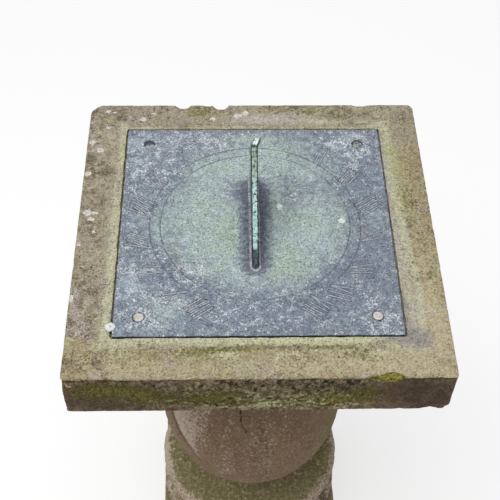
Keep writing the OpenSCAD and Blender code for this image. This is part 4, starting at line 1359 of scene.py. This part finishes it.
def solderShade():
    # dull pinkish grey metal, stained dark in its hollows
    shade = Shade("solder")
    base = shade.patchy((3, 3), (0.33, 0.30, 0.33), (0.60, 0.555, 0.57),
                        (3.0, 4, 0.46, 0.66, 0.85), (0.14, 0.145, 0.185))
    grain = shade.noise(1.0, 2, 3)
    base = shade.tint(base, grain * 0.3 + 0.82)
    return shade.finish(base, 0.68 + 0.15 * grain, shade.bump(shade.noise(1.8, 4, 4), 0.4, 0.8))


makePiece("solderBead", [beadShape()], solderShade(), ["gnomon_bead"], hoop=True)


# The screws

# radii and heights, from the middle of the head down the countersink and the shank
screwHead = [(0.3, 0), (1, 0), (2, -0.02), (3, -0.05), (4, -0.1), (4.8, -0.16), (5.4, -0.26),
             (5.8, -0.45), (5.7, -0.8)]
screwShank = [(4.4, -2.0), (3.0, -3.2), (3.0, -8), (3.0, -24), (0.6, -29.8)]
# the slot's direction in degrees, how much oxide is left, how clear the slot is, how strong the
# painted shadow on the head's north part is, and the oxide's colour
screwSet = {
    "screw_front_left": (25, 0.85, 0.12, 0.0, (0.640, 0.605, 0.555)),
    "screw_front_right": (110, 1.0, 0.05, 0.0, (0.640, 0.605, 0.555)),
    "screw_back_left": (70, 0.7, 0.0, 0.8, (0.430, 0.430, 0.460)),
    "screw_back_right": (-20, 0.55, 0.25, 0.45, (0.520, 0.500, 0.480)),
}


def screwShape(node, degrees, slot, shadow):
    # a countersunk head and shank turned about the screw's own axis, its slot pressed in by the
    # distance from a line across the head
    low, high = boxOf(node)
    mid = (low + high) / 2
    profile = np.concatenate([evenly(np.array(screwHead), 0.35), screwShank])
    rings = revolve(profile, 72)
    x, y, z = np.moveaxis(rings, 2, 0)
    angle = math.radians(degrees)
    off = abs(y * math.cos(angle) - x * math.sin(angle))
    head = ease(-0.9, -0.4, z)
    cut = ease(0.95, 0.55, off) * head
    z -= 1.1 * slot * cut + 0.12 * (1 + rough(rings + mid, 2.4, 2, 951)) * head
    rings[..., :2] *= 1 - 0.02 * (1 + rough(rings + mid, 3.0, 2, 961))[..., None] * head[..., None]
    rim = ease(4.6, 5.6, np.hypot(x, y))
    # painted shadow over the head's north part
    north = y - 0.3 * x + 0.5 * rough(rings, 3, 2, 971)
    fields = {"slot": slot * cut, "rim": rim, "shadow": shadow * ease(-0.6, 1.8, north)}
    return rings + np.array([mid[0], mid[1], high[2]]), fields


def screwShade(name, pale, oxide):
    # a worn head: its oxide over brown, dark in the slot, with a painted shadow on its north part
    shade = Shade(name, {"oxide": oxide, "brown": (0.17, 0.165, 0.170), "black": (0.035, 0.035, 0.04)})
    base = shade.mix(shade.noise(3.2, 3, 1).ease(0.9 - pale, 1.2 - pale), "brown", "oxide")
    base = shade.mix(shade.field("rim") * 0.75, base, "brown")
    base = shade.mix(shade.noise(1.8, 3, 2).ease(0.5, 0.8) * 0.5, base, "brown")
    # black in the slot, and the painted shadow
    base = shade.mix(shade.clamp(shade.field("slot") * 0.9 + shade.field("shadow")), base, "black")
    grain = shade.noise(0.8, 2, 3)
    base = shade.tint(base, grain * 0.25 + 0.86)
    return shade.finish(base, 0.7, shade.bump(shade.noise(1.5, 3, 4), 0.3, 0.7))


for node, (degrees, pale, slot, shadow, oxide) in screwSet.items():
    name = node.title().replace("_", "").replace("Screw", "screw")
    rings, fields = screwShape(node, degrees, slot, shadow)
    makePiece(name, [rings], screwShade(name + "Metal", pale, oxide), [node], fields)


# The baluster

shaft = {
    "around": 420,
    "step": 2.2,
    # radii and heights under the cap joint, the same mouldings as the shaft's node
    "headR": 95, "headBand": 20, "ovolo": 20, "fillet": 6, "hollow": 14, "beadR": 8, "neckR": 54,
    "shoulderR": 60, "bellyR": 123, "bellyArc": 175, "waistR": 62, "collarTall": 12, "collarOut": 10,
    "waistTall": 10, "sweepR": 28, "footR": 130, "footTall": 34, "scotiaTall": 38, "scotiaIn": 12,
    "baseR": 131.5, "baseTall": 31,
    # each pit's centre and radius; the first one lies on the crack
    "pits": [(-54, -99, 416.5, 2.9), (30, -121, 400, 2.4), (-70, -104, 380, 2),
             (75, -96, 350, 2.5), (96, 80, 400, 3)],
}


def arc(centre, radius, fromDeg, toDeg, points=24):
    # points of a circle's arc, its angles measured from the radius direction
    turn = np.radians(np.linspace(fromDeg, toDeg, points))
    return np.stack([centre[0] + radius * np.cos(turn), centre[1] + radius * np.sin(turn)], 1)


def shaftProfile():
    # from the foot up: lower ring, hollow band, upper ring, sweep, collar, belly, shoulder, neck
    # bead, hollow, fillet, quarter round and head band
    s = shaft
    base = shaftLow[2]
    top = shaftHigh[2]
    scotiaZ = base + s["baseTall"]
    footZ = scotiaZ + s["scotiaTall"]
    footTop = footZ + s["footTall"]
    waistZ = footTop + s["waistTall"] + s["collarTall"] / 2
    bellyX = s["bellyR"] - s["bellyArc"]
    bellyZ = waistZ + math.sqrt(s["bellyArc"] ** 2 - (s["waistR"] - bellyX) ** 2)
    reach = s["bellyArc"] + s["shoulderR"]
    hollowX = s["neckR"] + s["shoulderR"]
    hollowZ = bellyZ + math.sqrt(reach ** 2 - (hollowX - bellyX) ** 2)
    touch = math.degrees(math.atan2(hollowZ - bellyZ, hollowX - bellyX))
    low = math.degrees(math.asin((waistZ + s["collarTall"] / 2 - bellyZ) / s["bellyArc"]))
    ringR, footR = s["baseTall"] / 2, s["footTall"] / 2
    scotiaR = s["footR"] - s["scotiaIn"]
    groove = s["scotiaTall"] / 2 - s["fillet"]
    ovoloZ = top - s["headBand"] - s["ovolo"]
    filletZ = ovoloZ - s["fillet"]
    beadZ = filletZ - s["hollow"] - s["beadR"]
    parts = [
        [(20, base), (90, base)],
        arc((s["baseR"] - ringR, base + ringR), ringR, -90, 90),
        [(scotiaR, scotiaZ + 0.5), (scotiaR, scotiaZ + s["fillet"])],
        arc((scotiaR, scotiaZ + s["scotiaTall"] / 2), groove, 270, 90),
        [(scotiaR, footZ - s["fillet"]), (scotiaR, footZ - 0.5)],
        arc((s["footR"] - footR, footZ + footR), footR, -90, 90),
        arc((s["waistR"] + s["sweepR"], footTop + s["sweepR"]), s["sweepR"], 270, 222, 12),
        arc((s["waistR"] + s["collarOut"] - s["collarTall"] / 2, waistZ), s["collarTall"] / 2, -80, 90, 14),
        arc((bellyX, bellyZ), s["bellyArc"], low, touch, 90),
        arc((hollowX, hollowZ), s["shoulderR"], 180 + touch, 180, 24),
        [(s["neckR"], beadZ - s["beadR"] - 1)],
        arc((s["neckR"], beadZ), s["beadR"], -80, 80, 14),
        arc((s["neckR"] + s["hollow"], filletZ - s["hollow"]), s["hollow"], 175, 95, 12),
        [(s["neckR"] + s["hollow"], filletZ), (s["neckR"] + s["hollow"], ovoloZ)],
        arc((s["headR"] - s["ovolo"], ovoloZ + s["ovolo"]), s["ovolo"], -90, 0, 18),
        [(s["headR"], top - 1.5), (s["headR"] - 1.5, top), (30, top)],
    ]
    return evenly(np.concatenate([np.array(p, float) for p in parts]), s["step"])


def shaftShape():
    # the turned profile, weathered inwards, with a crack down the front and a few pits
    rings = revolve(shaftProfile(), shaft["around"], phase=-math.pi / 2)
    normal = gridNormals(rings)
    radial = rings * np.array([1, 1, 0])
    outward = np.where((normal * radial).sum(2).sum() > 0, 1, -1)
    depth = 0.35 + 0.3 * rough(rings, 60, 2, 1001) + 0.3 * rough(rings, 12, 3, 1011)
    depth += 0.22 * rough(rings, 4.5, 2, 1021)
    turn = np.arctan2(rings[..., 0], -rings[..., 1])
    around = turn * np.hypot(rings[..., 0], rings[..., 1])
    z = rings[..., 2]
    bellyBand = ease(410, 424, z) * ease(560, 520, z)
    upright = z[..., None] * np.array([1, 0, 0])
    crackLine = -17.5 + 8.5 * ease(446, 412, z) + 1.6 * rough(upright, 14, 3, 1031)
    crack = ease(1.15, 0.2, abs(around - crackLine)) * bellyBand
    depth = depth + 1.2 * crack
    edges = peaks(rings, 16, 2, 1041, 0.35) * 2.2
    depth += edges * (ease(560, 600, z) + ease(210, 190, z))
    depth = np.clip(depth, 0.02, 5)
    rings = rings - normal * outward * depth[..., None]
    bite(rings, shaft["pits"], 0.2, 1100)
    fromPit = np.linalg.norm(rings - np.array(shaft["pits"][0][:3]), axis=2)
    crack = np.maximum(crack, ease(3.0, 1.8, fromPit))
    rings[..., 2] = np.clip(rings[..., 2], shaftLow[2], shaftHigh[2])
    return rings, crack


def shaftFields(rings, crack):
    # moss on the east and in the mouldings' tops, paler runs on the west: partly rain, partly painted light
    x, y, z = np.moveaxis(rings, 2, 0)
    turn = np.degrees(np.arctan2(x, -y))
    waver = 14 * rough(rings, 70, 2, 1201)
    fromLeft = z - 383 + 1.65 * (turn + 62) + 2 * rough(rings, 12, 2, 1241)
    fromRight = z - 383 - 1.6 * (turn - 62) + 2 * rough(rings, 12, 2, 1251)
    moss = np.exp(-((turn - 72 + waver) / 12) ** 2) * ease(250, 330, z) * 0.5
    onRight = ease(36, 50, turn) * ease(96, 78, turn) * (0.7 + 0.35 * rough(rings, 30, 2, 1261))
    moss += np.exp(-(fromRight / 20) ** 2) * onRight
    moss += np.exp(-((turn - 150 + waver) / 22) ** 2) * 0.6
    moss += np.exp(-((turn + 140 + waver) / 16) ** 2) * 0.4
    moss += ease(196, 203, z) * ease(240, 205, z) * 0.7 + ease(124, 131, z) * ease(140, 132, z) * 0.6
    runs = np.stack([turn * 1.6, turn * 0, z * 0.12], 2)
    # the west band: rain marks, and painted light on the side that faces the light
    rainAndSidelight = ease(-28, -46, turn) * ease(-112, -86, turn) * (0.8 + 0.4 * rough(runs, 9, 3, 1211))
    rainAndSidelight *= np.maximum(ease(1, 9, fromLeft), 0.8 * ease(-64, -84, turn))
    rainAndSidelight += 0.22 * ease(0.1, 0.9, rough(runs, 14, 3, 1221))
    damp = 0.5 * ease(0.0, 0.8, rough(runs, 11, 3, 1231)) * ease(-20, 10, turn) + 0.5 * ease(160, 110, z)
    damp += np.exp(-(fromLeft / 4.5) ** 2) * ease(-38, -46, turn) * ease(-84, -70, turn) * 1.15
    foot = ease(236, 205, z) * 0.75
    return {"moss": moss, "rainAndSidelight": rainAndSidelight + foot * 0.8, "damp": damp, "crack": crack}


shaftLook = {
    "body": (0.350, 0.235, 0.145),
    "warm": (0.245, 0.155, 0.095),
    "pale": (0.680, 0.555, 0.450),
    "damp": (0.175, 0.125, 0.085),
    "moss": (0.230, 0.205, 0.085),
    "mossBright": (0.330, 0.310, 0.130),
    "black": (0.030, 0.024, 0.018),
    "speck": (0.460, 0.420, 0.360),
}


def shaftStoneShade(name, look):
    # brown sandstone with pale runs, damp runs and moss by their fields, and specks over all
    shade = Shade(name, look)
    noise, field, mix = shade.noise, shade.field, shade.mix
    base = mix(noise(26, 4, 1), "body", "warm")
    base = shade.layers(
        base,
        # pale: rain marks, and on the baluster's west side painted light
        ("pale", "rainAndSidelight", 3.4, 1.3, 0.45, 0.5, 2),
        ("damp", "damp", 5, 1.2, 0.4, 0.6, 3),
        ("moss", "moss", 6, 1.0, 0.3, 0.5, 4),
        ("mossBright", "moss", 2.8, 1.4, 0.2, 0.9, 5))
    base = mix(field("crack").ease(0.2, 0.7), base, "black")
    specks = noise(2.0, 3, 6)
    base = mix(specks.ease(0.68, 0.88) * 0.5, base, "black")
    base = mix(specks.ease(0.3, 0.1) * 0.35, base, "speck")
    grain = noise(0.9, 2, 7)
    base = shade.tint(base, grain * 0.42 + noise(3, 4, 8, roughness=0.7) * 0.5 + 0.56)
    height = grain * 0.35 + noise(2.8, 4, 9) * 0.6 + noise(8, 2, 10) * 0.4
    height = height - specks.ease(0.62, 0.9) * 0.5
    return shade.finish(base, 0.92 - 0.1 * grain, shade.bump(height, 0.9, 0.7), specular=0.25)


shaftDone, shaftCrack = shaftShape()
makePiece("balusterStone", [shaftDone], shaftStoneShade("balusterSandstone", shaftLook),
          ["baluster"], shaftFields(shaftDone, shaftCrack))


# The plinth

plinth = {"arris": 4.0, "sidePoints": 110, "cornerPoints": 8}


def plinthShape():
    # rounded squares from the middle of the underside out, up and in again, weathered inwards
    half, arris = plinthHigh[0], plinth["arris"]
    low, top = plinthLow[2], plinthHigh[2]
    bend = np.linspace(0, math.pi / 2, 6)
    sizes = [(w, low) for w in (10, 70, 110, 124)]
    sizes += [(half - arris + arris * math.sin(a), low + arris - arris * math.cos(a)) for a in bend]
    sizes += [(half, z) for z in np.linspace(low + arris, top - arris, 32)[1:-1]]
    sizes += [(half - arris + arris * math.cos(a), top - arris + arris * math.sin(a)) for a in bend]
    sizes += [(w, top) for w in np.linspace(half - arris, 96, 14)[1:]] + [(w, top) for w in (60, 12)]
    points = plinth["sidePoints"], plinth["cornerPoints"]
    rings = np.array([level(squareLoop(w, arris, *points), z) for w, z in sizes])
    fromSide = half - abs(rings[..., :2]).max(2)
    edge = np.exp(-(np.hypot(fromSide, top - rings[..., 2]) / 7) ** 2)
    depth = 0.7 + 0.6 * rough(rings, 40, 2, 1301) + 0.5 * rough(rings, 11, 3, 1311)
    depth += edge * (1.2 + 2.0 * peaks(rings, 9, 2, 1321))
    depth *= ease(low - 0.1, low + 3, rings[..., 2])
    rings = rings - outwardNormals(rings, (low + top) / 2) * np.clip(depth, 0, 6)[..., None]
    knocks = [(-half - 3, -half - 2, top + 3, 15), (60, -half - 14, top + 8, 22),
              (half + 8, 40, top + 6, 17), (half + 4, half + 3, 30, 16), (-40, half + 12, top + 8, 20)]
    return bite(rings, knocks, 0.1, 1400)


def plinthFields(rings):
    # moss on the top and in clouds on the sides, rain marks by noise, damp near the ground
    x, y, z = np.moveaxis(rings, 2, 0)
    top = plinthHigh[2]
    onTop = ease(top - 4, top - 1.5, z)
    moss = onTop * (0.35 + 0.5 * rough(rings, 40, 2, 1501))
    moss += (1 - onTop) * ease(0.0, 0.9, rough(rings, 55, 2, 1511)) * ease(10, 60, z)
    moss += ease(128, 114, np.hypot(x, y)) * onTop * 0.5
    rainAndSidelight = 0.35 + 0.5 * rough(rings, 60, 2, 1521)
    damp = ease(26, 4, z) * 0.9 + 0.5 * ease(0.3, 1, rough(rings, 30, 2, 1531))
    return {"moss": moss, "rainAndSidelight": rainAndSidelight, "damp": damp, "crack": np.zeros_like(x)}


plinthLook = dict(shaftLook, body=(0.360, 0.290, 0.205), warm=(0.300, 0.230, 0.155))
plinthDone = plinthShape()
makePiece("plinthStone", [plinthDone], shaftStoneShade("plinthSandstone", plinthLook),
          ["plinth"], plinthFields(plinthDone))


# The mortar joints

def mortarShade():
    # lime mortar: pale, sandy, stained at its edge
    shade = Shade("limeMortar")
    base = shade.patchy((9, 3), (0.44, 0.41, 0.34), (0.33, 0.30, 0.24),
                        (3, 3, 0.58, 0.85, 0.6), (0.16, 0.15, 0.08))
    grain = shade.noise(0.8, 2, 3)
    base = shade.tint(base, grain * 0.3 + 0.8)
    return shade.finish(base, 0.92, shade.bump(grain + shade.noise(2.5, 3, 4), 0.7, 0.8), specular=0.2)


mortar = mortarShade()


def jointShape(node):
    # a low drum whose side bulges and crumbles
    low, high = boxOf(node)
    radius = (high[0] - low[0]) / 2
    side = np.linspace(0, 1, 9)
    profile = [(10, low[2]), (radius * 0.6, low[2])]
    profile += [(radius - 1.6 * (2 * t - 1) ** 2, low[2] + (high[2] - low[2]) * t) for t in side]
    profile += [(radius * 0.6, high[2]), (10, high[2])]
    rings = revolve(np.array(profile), 260)
    atSide = ease(radius * 0.7, radius * 0.97, np.hypot(rings[..., 0], rings[..., 1]))
    rings[..., :2] *= (1 - (0.9 + 0.8 * rough(rings, 7, 3, 1601)) / radius * atSide)[..., None]
    return rings


for name, node in (("capMortar", "cap_joint"), ("baseMortar", "base_joint")):
    makePiece(name, [jointShape(node)], mortar, [node])


# Moss cushions and a lump of old lime

cushions = {"seed": 53, "count": 34, "wobble": 0.3}
lime = {
    "east": -153.3,
    "north": -136.9,
    "size": (5.5, 5.4, 1.9),
    "wobble": 0.14,
    "hollow": 1.1,                # depth of the worn middle
}


def lump(centre, size, wobble, seed, around, rows):
    # a ball scaled to its three half widths and roughened
    lift = np.linspace(-math.pi / 2, math.pi / 2, rows + 2)[1:-1]
    turn = np.linspace(0, 2 * math.pi, around, endpoint=False)
    ball = np.stack([np.cos(lift)[:, None] * np.cos(turn), np.cos(lift)[:, None] * np.sin(turn),
                     np.sin(lift)[:, None] * np.ones(around)], 2)
    points = ball * np.array(size)
    swell = 1 + wobble * rough(points + np.array(centre), min(size) * 1.1, 3, seed)
    return points * swell[..., None] + np.array(centre)


def mossShade():
    # olive green in two tones, with dark hollows
    shade = Shade("dullMoss")
    green = shade.mix(shade.noise(1.8, 3, 1).ease(0.25, 0.75), (0.13, 0.145, 0.025), (0.38, 0.41, 0.12))
    green = shade.mix(shade.noise(1.1, 2, 2).ease(0.7, 0.9) * 0.7, green, (0.05, 0.055, 0.012))
    return shade.finish(green, 0.95, shade.bump(shade.noise(0.9, 3, 3), 0.9, 1.0), specular=0.15)


def mossShells():
    # small cushions on the front face, where the algae is thickest
    shells = []
    random = np.random.default_rng(cushions["seed"])
    for n in range(cushions["count"]):
        west = random.random() < 0.45
        x = random.uniform(-192, -120) if west else random.uniform(-120, 108)
        down = random.uniform(14, 46) if west else random.uniform(40, 56)
        size = random.uniform(1.4, 3.2)
        centre = (x, 3.2 - slabHigh[0], slabTop - down)
        shells.append(lump(centre, (size * 1.3, 2.0, size * 0.8), cushions["wobble"], 2100 + n, 16, 8))
    return shells


makePiece("frontMoss", mossShells(), mossShade())


def limeShade():
    # white in two tones, grey in patches and stained in the hollow
    shade = Shade("oldLime")
    base = shade.patchy((2.2, 3), (0.86, 0.87, 0.86), (0.70, 0.71, 0.71),
                        (1.2, 3, 0.66, 0.85, 0.5), (0.34, 0.33, 0.31))
    hollow = (shade.field("middle") + shade.noise(1.5, 2, 4) * 0.8).ease(2.2, 1.4)
    base = shade.mix(hollow * 0.8, base, (0.42, 0.40, 0.37))
    return shade.finish(base, 0.85, shade.bump(shade.noise(1.4, 3, 3), 0.5, 0.8), specular=0.3)


def limeLump():
    # a splash of old lime on the plate's front left corner, with a hollow worn in its middle
    centre = (lime["east"], lime["north"], slabTop + 0.5)
    rings = lump(centre, lime["size"], lime["wobble"], 2300, 60, 30)
    away = np.hypot(rings[..., 0] - centre[0] - 0.4, rings[..., 1] - centre[1])
    rings[..., 2] -= lime["hollow"] * ease(1.9, 0.6, away) * (rings[..., 2] > centre[2])
    makePiece("limeLump", [rings], limeShade(), fields={"middle": away})


limeLump()


# What lies inside keeps its own shape and gets its finish

def plainShade(name, colours, coarse, patch, relief, roughness, metallic):
    # two tones and a third in patches, with a relief given as size, detail, depth and strength
    shade = Shade(name)
    base = shade.patchy(coarse, colours[0], colours[1], patch, colours[2])
    size, detail, depth, strength = relief
    normal = shade.bump(shade.noise(size, detail, 3), depth, strength)
    return shade.finish(base, roughness, normal, metallic)


rust = plainShade("rustyIron", ((0.13, 0.062, 0.035), (0.055, 0.042, 0.036), (0.28, 0.125, 0.05)),
                  (4, 4), (1.6, 3, 0.6, 0.9, 0.7), (1.5, 4, 0.5, 0.8), 0.82, 0.25)
lead = plainShade("dullLead", ((0.20, 0.205, 0.22), (0.30, 0.305, 0.315), (0.46, 0.46, 0.45)),
                  (6, 3), (2, 3, 0.62, 0.9, 0.6), (2.2, 3, 0.3, 0.6), 0.6, 0.55)
brass = plainShade("brassPin", ((0.50, 0.33, 0.11), (0.30, 0.21, 0.10), (0.16, 0.24, 0.18)),
                   (3, 3), (1.4, 3, 0.65, 0.9, 0.8), (1.2, 3, 0.15, 0.6), 0.45, 0.8)
inner = {
    "base_dowel": rust, "cap_dowel": rust, "base_dowel_lead": lead, "cap_dowel_lead": lead,
    "plug_front_left": lead, "plug_front_right": lead, "plug_back_left": lead, "plug_back_right": lead,
    "plate_bed": mortar, "gnomon_pin_toe": brass, "gnomon_pin_heel": brass,
}
for node, finish in inner.items():
    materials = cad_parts[node].data.materials
    materials.clear()
    materials.append(finish)
print("inner pieces finished")
